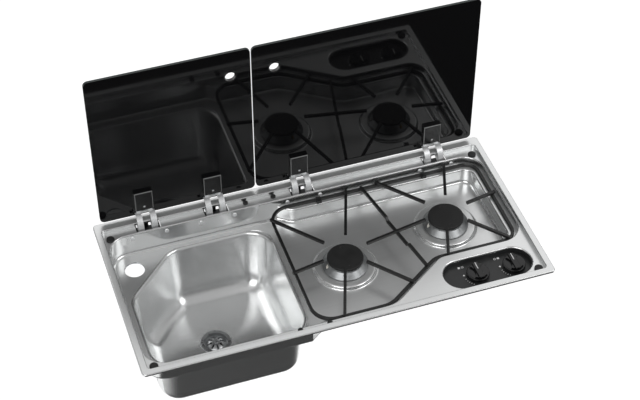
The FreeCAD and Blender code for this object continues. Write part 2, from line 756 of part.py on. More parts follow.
def make_waste():
    """Flange, strainer, screw, gasket, body and lock nut, from the top down."""
    seat = BOWL_Z
    lip = seat + WASTE_FLANGE_T
    well_r = WASTE_HOLE_R - WASTE_CLEARANCE
    floor = seat - WASTE_DISH
    flange = turned([
        (WASTE_FLANGE_R, seat),
        (WASTE_FLANGE_R - WASTE_FLANGE_T, lip),
        (well_r - WASTE_WALL, lip),
        (well_r - 2 * WASTE_WALL, floor + WASTE_WALL),
        (SPIGOT_BORE_R, floor + WASTE_WALL),
        (SPIGOT_BORE_R, floor),
        (well_r, floor),
        (well_r, seat),
    ], WASTE_X, WASTE_Y)
    strainer_z = floor + WASTE_WALL
    crown_z = strainer_z + STRAINER_RISE
    flat_r = WASTE_SCREW_R + SCREW_CLEARANCE
    strainer = turned([
        (WASTE_SHANK_R, crown_z),
        (WASTE_SHANK_R, crown_z + WASTE_WALL),
        (flat_r, crown_z + WASTE_WALL),
        dome_middle(flat_r, crown_z + WASTE_WALL, STRAINER_R, strainer_z),
        (STRAINER_R, strainer_z),
        (STRAINER_R - WASTE_WALL, strainer_z),
        dome_middle(flat_r, crown_z, STRAINER_R - WASTE_WALL, strainer_z),
        (flat_r, crown_z),
    ], WASTE_X, WASTE_Y)
    slots = []
    for i in range(STRAINER_SLOTS):
        slot = block(STRAINER_SLOT_IN, STRAINER_SLOT_OUT, -STRAINER_SLOT_W / 2, STRAINER_SLOT_W / 2,
                     strainer_z - WASTE_WALL, strainer_z + 3 * STRAINER_RISE)
        slot.Placement = Placement(Vector(WASTE_X, WASTE_Y, 0), Rotation(UP, 360 * i / STRAINER_SLOTS))
        slots.append(slot)
    strainer = strainer.cut(slots)
    head_z = strainer_z + STRAINER_RISE + WASTE_WALL
    bar_z = floor - GASKET_T - WASTE_BODY_H + WASTE_WALL
    screw = disc(WASTE_X, WASTE_Y, head_z, WASTE_SCREW_R, WASTE_HEAD_H)
    screw = screw.makeFillet(WASTE_HEAD_EDGE_R, [screw.Edges[0]])
    shank_r = WASTE_SHANK_R - WASTE_SHANK_CLEARANCE
    screw = screw.fuse(disc(WASTE_X, WASTE_Y, bar_z, shank_r, head_z - bar_z))
    under = seat - SHEET
    gasket = disc(WASTE_X, WASTE_Y, under - GASKET_T, WASTE_FLANGE_R, GASKET_T)
    gasket_bore = disc(WASTE_X, WASTE_Y, under - 2 * GASKET_T, WASTE_HOLE_R + WASTE_CLEARANCE, 3 * GASKET_T)
    gasket = gasket.cut(gasket_bore)
    body_top = under - GASKET_T
    body_low = body_top - WASTE_BODY_H
    body = disc(WASTE_X, WASTE_Y, body_low, WASTE_BODY_R, WASTE_BODY_H)
    spigot = disc(WASTE_X, WASTE_Y, body_low - SPIGOT_H, SPIGOT_R, SPIGOT_H)
    bore = disc(WASTE_X, WASTE_Y, body_low - 2 * SPIGOT_H, SPIGOT_BORE_R, 2 * SPIGOT_H + 3 * WASTE_WALL)
    pot_low = body_low + 2 * WASTE_WALL
    body = body.cut(disc(WASTE_X, WASTE_Y, pot_low, WASTE_BODY_R - 2 * WASTE_WALL, WASTE_BODY_H))
    body = body.cut(bore)
    bar_half = WASTE_BODY_R - WASTE_WALL
    body = body.fuse(block(WASTE_X - bar_half, WASTE_X + bar_half, WASTE_Y - WASTE_BAR_W / 2,
                           WASTE_Y + WASTE_BAR_W / 2, pot_low, body_low + 5 * WASTE_WALL))
    body = body.cut(disc(WASTE_X, WASTE_Y, body_low, WASTE_SHANK_R, WASTE_BODY_H))
    nut = disc(WASTE_X, WASTE_Y, body_low + 5 * WASTE_WALL, WASTE_SCREW_R, WASTE_NUT_H)
    nut = nut.cut(disc(WASTE_X, WASTE_Y, body_low, WASTE_SHANK_R, WASTE_BODY_H))
    return {
        "waste_flange": flange,
        "waste_strainer": strainer,
        "waste_screw": screw,
        "waste_gasket": gasket,
        "waste_body": body.removeSplitter(),
        "waste_spigot": spigot.cut(bore),
        "waste_nut": nut,
    }


# Rim seal and bumpers

def make_rim_seal():
    outer = inset(PLATE, SHEET + SEAL_GAP)
    inner = inset(PLATE, SHEET + SEAL_GAP + SEAL_W)
    ring = prism(outer, 0, RIM_H - SHEET)
    return ring.cut(prism(inner, -1, RIM_H))


def bumper_places():
    """Centres and radii of the round corner bumpers, then of the four pegs by the gap between the lids."""
    places = []
    for x in (RECESS_LEFT + BUMPER_SIDE, RECESS_RIGHT - BUMPER_SIDE):
        places.append((x, RECESS_BACK - BUMPER_BACK, BUMPER_R))
        places.append((x, RECESS_FRONT + BUMPER_FRONT, BUMPER_R))
    for x in (LID_SPLIT_X - PEG_SPREAD / 2, LID_SPLIT_X + PEG_SPREAD / 2):
        places.append((x, RECESS_BACK - PEG_INSET, PEG_R))
        places.append((x, RECESS_FRONT + PEG_INSET, PEG_R))
    return places


def make_bumpers():
    solids = []
    for x, y, radius in bumper_places():
        head = disc(x, y, LEDGE_Z, radius, BUMPER_H)
        top = [edge for edge in head.Edges if edge.BoundBox.ZMin > LEDGE_Z + BUMPER_H / 2 and edge.Closed]
        head = head.makeFillet(BUMPER_EDGE_R, top)
        solids.append(head.fuse(disc(x, y, LEDGE_Z - STEM_H, STEM_R, STEM_H)))
    return group(solids)


# Lids and hinges

def make_glass(x0, x1, hole_x):
    corners = box_outline(x0, LID_FOOT_Z, x1, LID_TOP_Z, LID_R)
    sheet = Part.Face(loop(corners, 0)).extrude(Vector(0, 0, LID_T))
    sheet.Placement = Placement(Vector(0, LID_FACE_Y + LID_T, 0), Rotation(Vector(1, 0, 0), 90))
    return sheet.cut(lid_rod(hole_x, LID_FACE_Y - 1, LID_FACE_Y + LID_T + 1, FINGER_HOLE_R))


def lid_rod(x, y0, y1, radius):
    """Cylinder through a lid at the finger hole."""
    z = LID_TOP_Z - FINGER_HOLE_DROP
    return rod(Vector(x, y0, z), Vector(x, y1, z), radius)


def make_finger_ring(hole_x):
    back = LID_FACE_Y + LID_T
    ring = lid_rod(hole_x, LID_FACE_Y, back, FINGER_HOLE_R)
    ring = ring.fuse(lid_rod(hole_x, LID_FACE_Y - FINGER_RING_LIP, LID_FACE_Y, FINGER_RING_R))
    ring = ring.fuse(lid_rod(hole_x, back, back + FINGER_RING_LIP, FINGER_RING_R))
    bore = lid_rod(hole_x, LID_FACE_Y - 3, back + 3, FINGER_HOLE_R - FINGER_RING_WALL)
    return ring.cut(bore).removeSplitter()


def axis_point(x, angle, radius):
    """Point about the hinge axis; the angle runs from straight up towards the front."""
    turn = math.radians(angle)
    return Vector(x, AXIS_Y - radius * math.sin(turn), AXIS_Z + radius * math.cos(turn))


def axis_rod(x0, x1, radius):
    return rod(Vector(x0, AXIS_Y, AXIS_Z), Vector(x1, AXIS_Y, AXIS_Z), radius)


def make_leaf(x):
    """Plate behind the cover, two straps bent about the hinge axis, and their eyes."""
    face = LID_FACE_Y - PAD_T
    leaf = block(x - LEAF_W / 2, x + LEAF_W / 2, face - LEAF_T, face, RIM_H + LEAF_FOOT, RIM_H + LEAF_TOP)
    inner = STRAP_R - STRAP_T / 2
    outer = STRAP_R + STRAP_T / 2
    reach = math.degrees(math.asin((face - AXIS_Y - LEAF_T / 2) / STRAP_R))
    straps = []
    for side in (-1, 1):
        left = x + side * STRAP_PITCH / 2 - STRAP_W / 2
        wide = Vector(STRAP_W, 0, 0)
        middle = (STRAP_ANGLE - reach) / 2
        edges = [
            Part.Arc(axis_point(left, -reach, outer), axis_point(left, middle, outer),
                     axis_point(left, STRAP_ANGLE, outer)).toShape(),
            Part.makeLine(axis_point(left, STRAP_ANGLE, outer), axis_point(left, STRAP_ANGLE, inner)),
            Part.Arc(axis_point(left, STRAP_ANGLE, inner), axis_point(left, middle, inner),
                     axis_point(left, -reach, inner)).toShape(),
            Part.makeLine(axis_point(left, -reach, inner), axis_point(left, -reach, outer)),
        ]
        straps.append(Part.Face(Part.Wire(edges)).extrude(wide))
        arm = block(left, left + STRAP_W, -STRAP_T, 0, 0, outer)
        arm.Placement = Placement(Vector(0, AXIS_Y, AXIS_Z), Rotation(Vector(1, 0, 0), STRAP_ANGLE))
        straps.append(arm)
        straps.append(axis_rod(left, left + STRAP_W, EYE_R))
    leaf = leaf.fuse(straps)
    leaf = leaf.cut(axis_rod(x - LEAF_W, x + LEAF_W, PIN_R + PIN_CLEARANCE))
    slot_z = RIM_H + (LEAF_FOOT + STRAP_T + COVER_FOOT) / 2
    near = face - 2 * LEAF_T
    far = face + LEAF_T
    left = x - LEAF_SLOT_W / 2
    right = x + LEAF_SLOT_W / 2
    slot = block(left, right, near, far, slot_z - LEAF_SLOT_R, slot_z + LEAF_SLOT_R)
    for end in (left, right):
        slot = slot.fuse(rod(Vector(end, near, slot_z), Vector(end, far, slot_z), LEAF_SLOT_R))
    return leaf.cut(slot).removeSplitter()


def make_pad(x):
    face = LID_FACE_Y
    return block(x - LEAF_W / 2, x + LEAF_W / 2, face - PAD_T, face, RIM_H + COVER_FOOT, RIM_H + LEAF_TOP)


def cover_screw_z():
    return RIM_H + COVER_FOOT + COVER_SCREW_UP


def make_cover(x):
    """Moulded cap over the hinge leaf, open at its foot and back, with a screw hole."""
    back = LID_FACE_Y
    low = RIM_H + COVER_FOOT
    half = COVER_W / 2
    cap = block(x - half - COVER_WALL, x + half + COVER_WALL, back - COVER_T, back, low, low + COVER_H)
    soft = []
    for edge in cap.Edges:
        box = edge.BoundBox
        if box.YMax < back - COVER_T / 2 and box.ZMax > low + COVER_H / 2:
            soft.append(edge)
    cap = cap.makeFillet(COVER_EDGE_R, soft)
    leaf_back = back - PAD_T - LEAF_T
    room = low + COVER_H - COVER_WALL
    cap = cap.cut(block(x - half, x + half, leaf_back, back + PAD_T, low - COVER_WALL, room))
    z = cover_screw_z()
    return cap.cut(rod(Vector(x, back - COVER_T - 1, z), Vector(x, back, z), COVER_SCREW_R + SCREW_CLEARANCE))


def make_cover_screw(x):
    z = cover_screw_z()
    front = LID_FACE_Y - COVER_T + COVER_SCREW_SINK
    end = LID_FACE_Y - PAD_T - LEAF_T
    shank = rod(Vector(x, front, z), Vector(x, end, z), COVER_SCREW_R)
    socket = rod(Vector(x, front - COVER_WALL, z), Vector(x, front + COVER_SOCKET, z), COVER_SCREW_R / 2)
    return shank.cut(socket)


def make_bracket(x):
    """Plate on the back of the basin wall, two ears that hold the hinge pin, and a floor with a lip."""
    top = RIM_H - BRACKET_DROP
    low = top - BRACKET_H
    front = WALL_BACK_Y
    bracket = block(x - BRACKET_W / 2, x + BRACKET_W / 2, front, front + BRACKET_T, low, top)
    span = (STRAP_PITCH + STRAP_W) / 2 + EAR_GAP
    ear = [
        (front, low),
        (front, top),
        (AXIS_Y - 2 * EYE_R, top),
        (AXIS_Y - EYE_R, AXIS_Z),
        (AXIS_Y + EYE_R, AXIS_Z),
        (AXIS_Y, AXIS_Z - 2 * EYE_R),
        (front + BRACKET_H / 2, low),
    ]
    for ear_x in (x - span - BRACKET_T, x + span):
        bracket = bracket.fuse(side_plate(ear, ear_x, BRACKET_T))
        bracket = bracket.fuse(axis_rod(ear_x, ear_x + BRACKET_T, EYE_R))
    back = PLATE_D / 2
    bracket = bracket.fuse(block(x - span - BRACKET_T, x + span + BRACKET_T, front, back,
                                 low, low + BRACKET_T))
    lip = (STRAP_PITCH - STRAP_W) / 2 - EAR_GAP
    bracket = bracket.fuse(block(x - lip, x + lip, back - BRACKET_T, back, low, low + BRACKET_LIP))
    bracket = bracket.cut(axis_rod(x - BRACKET_W, x + BRACKET_W, PIN_R))
    for side in (-1, 1):
        bracket = bracket.cut(rod(screw_point(x, side, 0), screw_point(x, side, 3 * BRACKET_T + SHEET),
                                  SCREW_R + SCREW_CLEARANCE))
    return bracket.removeSplitter()


def make_pin(x):
    span = (STRAP_PITCH + STRAP_W) / 2 + EAR_GAP + BRACKET_T
    return axis_rod(x - span, x + span, PIN_R)


def make_bracket_screws(x):
    """Two screws with round heads in the basin and nuts behind the bracket."""
    solids = []
    for side in (-1, 1):
        head_face = screw_point(x, side, -SCREW_HEAD_H)
        wall_face = screw_point(x, side, 0)
        nut_face = screw_point(x, side, SHEET + BRACKET_T)
        end = screw_point(x, side, SHEET + BRACKET_T + NUT_H)
        head = rod(wall_face, head_face, SCREW_HEAD_R)
        middle = wall_face.y - SCREW_HEAD_H / 2
        rim = [edge for edge in head.Edges if edge.Closed and edge.BoundBox.YMax < middle]
        head = head.makeFillet(SCREW_HEAD_EDGE_R, rim)
        slot = block(head_face.x - SCREW_SLOT_L / 2, head_face.x + SCREW_SLOT_L / 2,
                     head_face.y - SCREW_SLOT_DEPTH, head_face.y + SCREW_SLOT_DEPTH,
                     head_face.z - SCREW_SLOT_W / 2, head_face.z + SCREW_SLOT_W / 2)
        screw = head.cut(slot).fuse([rod(wall_face, end, SCREW_R), rod(nut_face, end, NUT_R)])
        solids.append(screw.removeSplitter())
    return solids


def make_lid(name, x_range, hole_x, hinges):
    nodes = {name + "_glass": make_glass(x_range[0], x_range[1], hole_x)}
    nodes[name + "_finger_ring"] = make_finger_ring(hole_x)
    for side, x in zip(("left", "right"), hinges):
        nodes[name + "_hinge_leaf_" + side] = make_leaf(x)
        nodes[name + "_hinge_cover_" + side] = make_cover(x)
    nodes[name + "_hinge_pads"] = group([make_pad(x) for x in hinges])
    nodes[name + "_cover_screws"] = group([make_cover_screw(x) for x in hinges])
    return nodes


# Control panel, knobs and gas taps

def make_control_panel():
    """Oval dish hung under the plateau, with a hole for each spindle."""
    top = LEDGE_Z - OVAL_COLLAR
    dish = prism(inset(OVAL, -PANEL_T), PANEL_Z - PANEL_T, top)
    dish = dish.fuse(prism(inset(OVAL, -PANEL_FLANGE), top - PANEL_T, top)).removeSplitter()
    dish = dish.cut(prism(OVAL, PANEL_Z, top + 1))
    hole_r = SPINDLE_R + SPINDLE_HOLE_GAP
    holes = [disc(x, OVAL_Y, PANEL_Z - 2 * PANEL_T, hole_r, 4 * PANEL_T) for x in KNOB_X]
    return dish.cut(holes)


def make_knob(x):
    """Round skirt, raised disc and grip bar that points to the back when shut."""
    base = disc(x, OVAL_Y, KNOB_BASE_Z, KNOB_R, KNOB_BASE_H)
    middle = KNOB_BASE_Z + KNOB_BASE_H / 2
    rim = [edge for edge in base.Edges if edge.Closed and edge.BoundBox.ZMin > middle]
    base = base.makeFillet(KNOB_EDGE_R, rim)
    disc_z = KNOB_BASE_Z + KNOB_BASE_H
    raised = Part.makeCone(KNOB_DISC_R, KNOB_DISC_R - KNOB_TAPER, KNOB_DISC_H, Vector(x, OVAL_Y, disc_z))
    scoop = []
    for side in (-1, 1):
        centre = x + side * (KNOB_GRIP_W / 2 + KNOB_DISC_R)
        scoop.append(disc(centre, OVAL_Y, disc_z + KNOB_SCOOP_LIFT, KNOB_DISC_R, 2 * KNOB_DISC_H))
    raised = raised.cut(scoop)
    grip = block(x - KNOB_GRIP_W / 2, x + KNOB_GRIP_W / 2, OVAL_Y - KNOB_GRIP_L / 2, OVAL_Y + KNOB_GRIP_L / 2,
                 middle, disc_z + KNOB_GRIP_H)
    soft = [edge for edge in grip.Edges if edge.BoundBox.ZMax > disc_z]
    grip = grip.makeFillet(KNOB_EDGE_R, soft)
    seat = disc(x, OVAL_Y, KNOB_BASE_Z - 1, SPINDLE_R, SPINDLE_SEAT + 1)
    return base.fuse([raised, grip]).cut(seat).removeSplitter()


def make_spindle(x):
    return disc(x, OVAL_Y, KNOB_BASE_Z + SPINDLE_SEAT - SPINDLE_L, SPINDLE_R, SPINDLE_L)


def make_plunger(x):
    top = TAP_TOP_Z - TAP_FLANGE_T
    ring = disc(x, OVAL_Y, top - PLUNGER_H, PLUNGER_R, PLUNGER_H)
    return ring.cut(disc(x, OVAL_Y, top - 2 * PLUNGER_H, SPINDLE_R + SPINDLE_CLEARANCE, 3 * PLUNGER_H))


def make_gas_tap(x):
    """Tap body with a plunger chamber, a spindle bore and an outlet at its foot."""
    low = TAP_TOP_Z - TAP_H
    body = disc(x, OVAL_Y, low, TAP_R, TAP_H)
    body = body.fuse(disc(x, OVAL_Y, TAP_TOP_Z - TAP_FLANGE_T, TAP_FLANGE_R, TAP_FLANGE_T))
    chamber = PLUNGER_H + KNOB_TRAVEL + TAP_FLANGE_T + PLUNGER_STOP
    body = body.cut(disc(x, OVAL_Y, TAP_TOP_Z - chamber, PLUNGER_R + PLUNGER_CLEARANCE, chamber + 1))
    bore_low = KNOB_BASE_Z + SPINDLE_SEAT - SPINDLE_L - KNOB_TRAVEL - PLUNGER_STOP
    body = body.cut(disc(x, OVAL_Y, bore_low, SPINDLE_R + SPINDLE_CLEARANCE, TAP_TOP_Z - bore_low))
    return body.removeSplitter()


def make_tap_bracket():
    reach = (TAP_SCREW_PITCH + TAP_BRACKET_D) / 2 - TAP_FLANGE_R
    left = KNOB_X[0] - reach
    right = KNOB_X[1] + reach
    half = TAP_BRACKET_D / 2
    plate = block(left, right, OVAL_Y - half, OVAL_Y + half, TAP_TOP_Z, TAP_TOP_Z + TAP_BRACKET_T)
    for x in KNOB_X:
        plate = plate.cut(disc(x, OVAL_Y, TAP_TOP_Z - TAP_BRACKET_T, SPINDLE_R + SPINDLE_HOLE_GAP,
                               3 * TAP_BRACKET_T))
    for x, y in tap_screw_places():
        plate = plate.cut(disc(x, y, TAP_TOP_Z - TAP_BRACKET_T, TAP_SCREW_R + SCREW_CLEARANCE,
                               3 * TAP_BRACKET_T))
    return plate


def tap_screw_places():
    return [(x + side * TAP_SCREW_PITCH / 2, OVAL_Y) for x in KNOB_X for side in (-1, 1)]


def make_tap_screws():
    solids = []
    for x, y in tap_screw_places():
        head = disc(x, y, TAP_TOP_Z - TAP_SCREW_R, 2 * TAP_SCREW_R, TAP_SCREW_R)
        solids.append(head.fuse(disc(x, y, TAP_TOP_Z, TAP_SCREW_R, TAP_BRACKET_T)))
    return group(solids)


def manifold_axis():
    y = OVAL_Y + TAP_R + MANIFOLD_R - MANIFOLD_LET_IN
    z = RIM_H - MANIFOLD_DROP
    return y, z


def make_manifold():
    """Feed tube along the taps, with the gas inlet at its right end."""
    y, z = manifold_axis()
    left = Vector(KNOB_X[0] - TAP_R, y, z)
    right = Vector(KNOB_X[1] + INLET_OUT, y, z)
    inlet_end = right + Vector(INLET_L, 0, 0)
    feed = rod(left, right, MANIFOLD_R).fuse(rod(right, inlet_end, INLET_R))
    feed = feed.cut([disc(x, OVAL_Y, TAP_TOP_Z - TAP_H, TAP_R, TAP_H) for x in KNOB_X])
    return feed.cut(rod(Vector(KNOB_X[0], y, z), inlet_end + Vector(1, 0, 0), INLET_BORE_R))


def make_gas_pipe(index):
    """Pipe from the foot of a tap to the elbow of its burner."""
    x = KNOB_X[index]
    burner_x, burner_y = BURNERS[index]
    low = TAP_TOP_Z - TAP_H
    run_z = RIM_H - PIPE_RUN_DROP
    lead_y = OVAL_Y + (PIPE_1_LEAD, PIPE_2_LEAD)[index]
    points = [
        Vector(x, OVAL_Y, low),
        Vector(x, OVAL_Y, low - PIPE_FOOT),
        Vector(x, lead_y, low - PIPE_FOOT),
        Vector(x, lead_y, run_z),
        Vector(burner_x, lead_y, run_z),
        Vector(burner_x, burner_y - ELBOW_L, run_z),
    ]
    return tube(points, PIPE_R)


# Burners

def make_burner(index):
    """Body, spreader and cap of one burner, and its two probes."""
    x, y = BURNERS[index]
    flange_z = BOSS_Z - SHEET - BODY_FLANGE_T
    low = flange_z - BODY_H
    run_z = RIM_H - PIPE_RUN_DROP
    body = disc(x, y, flange_z, BODY_FLANGE_R, BODY_FLANGE_T).fuse(disc(x, y, low, BODY_R, BODY_H))
    body = body.cut(disc(x, y, low + BODY_WALL, BODY_R - BODY_WALL, BODY_H + BODY_FLANGE_T))
    elbow = rod(Vector(x, y - BODY_R + BODY_WALL, run_z), Vector(x, y - ELBOW_L, run_z), ELBOW_R)
    body = body.fuse(elbow)
    socket = y - ELBOW_L + ELBOW_SOCKET
    body = body.cut(rod(Vector(x, y - ELBOW_L, run_z), Vector(x, socket, run_z), PIPE_R))
    skirt_z = BOSS_Z + SKIRT_GAP
    cap_low = CAP_Z - CAP_T
    spreader = turned([
        (SPREADER_R, flange_z + BODY_FLANGE_T),
        (SPREADER_R, skirt_z),
        (SKIRT_R, skirt_z),
        (SKIRT_R, skirt_z + SKIRT_EDGE),
        (SPREADER_TOP_R + PORT_LIP, cap_low - PORT_H - PORT_LIP),
        (SPREADER_TOP_R, cap_low),
        (SPREADER_TOP_R - SPREADER_WALL, cap_low),
        (SPREADER_TOP_R - SPREADER_WALL, flange_z + BODY_FLANGE_T),
    ], x, y)
    ports = []
    for i in range(SPREADER_PORTS):
        port = block(SPREADER_TOP_R - 2 * SPREADER_WALL, SPREADER_R, -PORT_W / 2, PORT_W / 2,
                     cap_low - PORT_H, cap_low + PORT_H)
        port.Placement = Placement(Vector(x, y, 0), Rotation(UP, 360 * i / SPREADER_PORTS))
        ports.append(port)
    spreader = spreader.cut(ports)
    cap = disc(x, y, cap_low, CAP_R, CAP_T)
    top = [edge for edge in cap.Edges if edge.Closed and edge.BoundBox.ZMin > cap_low + CAP_T / 2]
    cap = cap.makeFillet(CAP_EDGE_R, top)
    seat_r = SPREADER_TOP_R - SPREADER_WALL - PROBE_CLEARANCE
    cap = cap.fuse(disc(x, y, cap_low - CAP_SEAT, seat_r, CAP_SEAT)).removeSplitter()
    ball = (DIMPLE_R * DIMPLE_R + DIMPLE_DEPTH * DIMPLE_DEPTH) / (2 * DIMPLE_DEPTH)
    for side in (-1, 1):
        centre = Vector(x, y + side * DIMPLE_RING, CAP_Z - DIMPLE_DEPTH + ball)
        cap = cap.cut(Part.makeSphere(ball, centre))
    holes = []
    probes = {}
    for kind, angle in (("electrode", ELECTRODE_ANGLE), ("thermocouple", THERMOCOUPLE_ANGLE)):
        turn = math.radians(angle)
        px = x + PROBE_RING * math.cos(turn)
        py = y + PROBE_RING * math.sin(turn)
        tip_z = RIM_H - PROBE_DROP
        stem = disc(px, py, low, PROBE_R, tip_z - PROBE_TIP_H - low)
        probes[kind] = stem.fuse(disc(px, py, tip_z - PROBE_TIP_H, PROBE_TIP_R, PROBE_TIP_H)).removeSplitter()
        holes.append(disc(px, py, low - BODY_WALL, PROBE_R + PROBE_CLEARANCE,
                          tip_z - low + BODY_WALL + PROBE_HOLE_RISE))
    number = str(index + 1)
    return {
        "burner_body_" + number: body.cut(holes).removeSplitter(),
        "burner_spreader_" + number: spreader.cut(holes).removeSplitter(),
        "burner_cap_" + number: cap,
    }, probes


# Pan support

def finger_end(wire, x, y, angle):
    """Where a finger that leaves a burner at an angle meets the frame wire."""
    turn = math.radians(angle)
    heading = Vector(math.cos(turn), math.sin(turn), 0)
    start = Vector(x, y, WIRE_Z) + heading * FINGER_REACH
    ray = Part.makeLine(start, start + heading * PLATE_W)
    points = [pair[0] for pair in wire.distToShape(ray)[1]]
    nearest = min(points, key=start.distanceToPoint)
    lift = Vector(0, 0, FINGER_Z - WIRE_Z)
    return start + lift, nearest + heading * FINGER_OVERHANG + lift


def bar_section(z):
    """Square bar with soft edges, about a point at one height."""
    half = BAR_W / 2
    flat = half - BAR_EDGE_R
    bend = flat + BAR_EDGE_R * math.sqrt(0.5)
    corner = [(flat, -half), (bend, -bend), (half, -flat)]
    points = []
    for _ in range(4):
        start, middle, end = corner
        points += [(start[0], start[1] + z), (middle[0], middle[1] + z, "arc"), (end[0], end[1] + z)]
        corner = [(-up, out) for out, up in corner]
    return profile(points)


def bar(start, end):
    """Level square bar between two points."""
    section = bar_section(0)
    heading = math.degrees(math.atan2(end.y - start.y, end.x - start.x))
    section.Placement = Placement(start, Rotation(UP, heading - 90))
    return section.extrude(end - start)


def bent_bar(points):
    """Square bar that dips and rises along one straight run, with its long edges softened."""
    start = points[0]
    run = Vector(points[-1].x - start.x, points[-1].y - start.y, 0).normalize()
    line = [((point - start).dot(run), point.z) for point in points]
    upper = [(along, z + BAR_W / 2) for along, z in line]
    lower = [(along, z - BAR_W / 2) for along, z in reversed(line)]
    solid = profile(upper + lower).extrude(Vector(0, BAR_W, 0))
    sides = [edge for edge in solid.Edges if edge.BoundBox.YLength < BAR_W / 2]
    solid = solid.makeFillet(BAR_EDGE_R, sides)
    corner = start - UP.cross(run) * (BAR_W / 2)
    heading = math.degrees(math.atan2(run.y, run.x))
    solid.Placement = Placement(Vector(corner.x, corner.y, 0), Rotation(UP, heading))
    return solid


def make_pan_support():
    """Frame, six fingers about each burner with one bar shared, and a divider that dips below that bar."""
    wire = loop(SUPPORT, WIRE_Z)
    frame = skirt(SUPPORT, bar_section(WIRE_Z))
    (x1, y1), (x2, y2) = BURNERS
    fingers = []
    for x, y, shared in ((x1, y1, 0), (x2, y2, 3)):
        for i in range(6):
            if i != shared:
                start, end = finger_end(wire, x, y, FINGER_TURN + 60 * i)
                fingers.append(bar(start, end))
    bridge = Vector(x2 - x1, y2 - y1, 0).normalize() * FINGER_REACH
    near = Vector(x1, y1, FINGER_Z) + bridge
    far = Vector(x2, y2, FINGER_Z) - bridge
    fingers.append(bar(near, far))
    back = Vector(BASIN_RIGHT - DIVIDER_BACK_RIGHT, SUPPORT_BACK_Y, FINGER_Z)
    aim = Vector(BASIN_RIGHT - DIVIDER_FRONT_RIGHT, BASIN_FRONT, FINGER_Z)
    front_ray = Part.makeLine(back, back + (aim - back) * 2)
    crossing = front_ray.distToShape(Part.makeLine(near, far))[1][0][0]
    drop = Vector(0, 0, WIRE_Z - FINGER_Z)
    front_ray.translate(drop)
    meetings = [pair[0] for pair in wire.distToShape(front_ray)[1]]
    front = min(meetings, key=lambda point: point.y) - drop
    run = (front - back).normalize()
    low = [crossing + drop - run * DIVIDER_DIP, crossing + drop + run * DIVIDER_DIP]
    high = [low[0] - drop - run * BAR_W, low[1] - drop + run * BAR_W]
    divider = bent_bar([back, high[0], low[0], low[1], high[1], front])
    return {
        "pan_support_frame": frame,
        "pan_support_fingers": group(fingers),
        "pan_support_divider": divider,
    }


def make_clips():
    """Two black clips on the shelf that hook over the frame at the back."""
    solids = []
    half = BAR_W / 2
    for x in (BASIN_RIGHT - CLIP_1_RIGHT, BASIN_RIGHT - CLIP_2_RIGHT):
        left = x - CLIP_W / 2
        right = x + CLIP_W / 2
        near = SUPPORT_BACK_Y - CLIP_D
        top = WIRE_Z + half
        foot = block(left, right, near, SUPPORT_BACK_Y - half, SHELF_Z, top + CLIP_LIP)
        hook = block(left, right, near, SUPPORT_BACK_Y + half, top, top + CLIP_LIP)
        solids.append(foot.fuse(hook).removeSplitter())
    return group(solids)


# All nodes

def make_nodes():
    nodes = {
        "sink_bowl": make_sink_bowl(),
        "tap_hole_plate": make_tap_plate(),
        "rim_seal": make_rim_seal(),
        "lid_bumpers": make_bumpers(),
        "control_panel": make_control_panel(),
        "tap_bracket": make_tap_bracket(),
        "tap_screws": make_tap_screws(),
        "gas_manifold": make_manifold(),
        "gas_pipes": group([make_gas_pipe(index) for index in range(len(KNOB_X))]),
        "pan_support_clips": make_clips(),
        "hinge_brackets": group([make_bracket(x) for x in HINGES]),
        "hinge_pins": group([make_pin(x) for x in HINGES]),
        "hinge_bracket_screws": group(sum([make_bracket_screws(x) for x in HINGES], [])),
    }
    nodes.update(make_top())
    nodes.update(make_waste())
    nodes.update(make_pan_support())
    electrodes = []
    thermocouples = []
    for index, x in enumerate(KNOB_X):
        number = str(index + 1)
        nodes["gas_tap_" + number] = make_gas_tap(x)
        nodes["tap_plunger_" + number] = make_plunger(x)
        nodes["knob_" + number] = make_knob(x)
        nodes["knob_spindle_" + number] = make_spindle(x)
        burner, probes = make_burner(index)
        nodes.update(burner)
        electrodes.append(probes["electrode"])
        thermocouples.append(probes["thermocouple"])
    nodes["ignition_electrodes"] = group(electrodes)
    nodes["thermocouples"] = group(thermocouples)
    nodes.update(make_lid("sink_lid", SINK_LID_X, SINK_LID_X[1] - SINK_FINGER_HOLE_IN, SINK_HINGES))
    nodes.update(make_lid("hob_lid", HOB_LID_X, HOB_LID_X[0] + HOB_FINGER_HOLE_IN, HOB_HINGES))
    return nodes


os.makedirs("parts", exist_ok=True)
for node, shape in make_nodes().items():
    shape.exportStep("parts/" + node + ".step")
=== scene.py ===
"""Finish and small fittings for a drop-in hob and sink unit with two glass lids."""

import math

import bmesh
import bpy
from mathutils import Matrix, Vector


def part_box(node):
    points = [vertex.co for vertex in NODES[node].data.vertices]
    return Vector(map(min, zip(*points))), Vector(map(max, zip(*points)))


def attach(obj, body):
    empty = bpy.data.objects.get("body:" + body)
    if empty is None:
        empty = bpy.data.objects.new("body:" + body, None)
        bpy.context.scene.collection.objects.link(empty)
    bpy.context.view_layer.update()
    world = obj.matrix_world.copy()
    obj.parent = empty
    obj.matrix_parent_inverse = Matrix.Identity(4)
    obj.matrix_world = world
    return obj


bl_info = {
    "name": "Hob and sink unit",
    "version": (1, 0, 0),
    "blender": (4, 5, 0),
    "location": "3D View > Sidebar > Hob and sink",
    "description": "Dresses the pressed steel unit, its lids, burners and controls",
    "category": "Object",
}

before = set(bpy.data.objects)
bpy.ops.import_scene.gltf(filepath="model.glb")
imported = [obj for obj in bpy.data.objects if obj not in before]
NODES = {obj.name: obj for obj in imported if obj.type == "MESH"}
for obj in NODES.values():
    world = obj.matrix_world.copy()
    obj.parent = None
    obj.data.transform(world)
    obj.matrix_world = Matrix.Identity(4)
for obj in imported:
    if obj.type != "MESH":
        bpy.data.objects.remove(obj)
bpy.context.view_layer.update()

MM = 0.001
METRE_IN_MM = 1000.0
UNIT = "unit"
KNOBS = ("knob_1", "knob_2")


# Settings

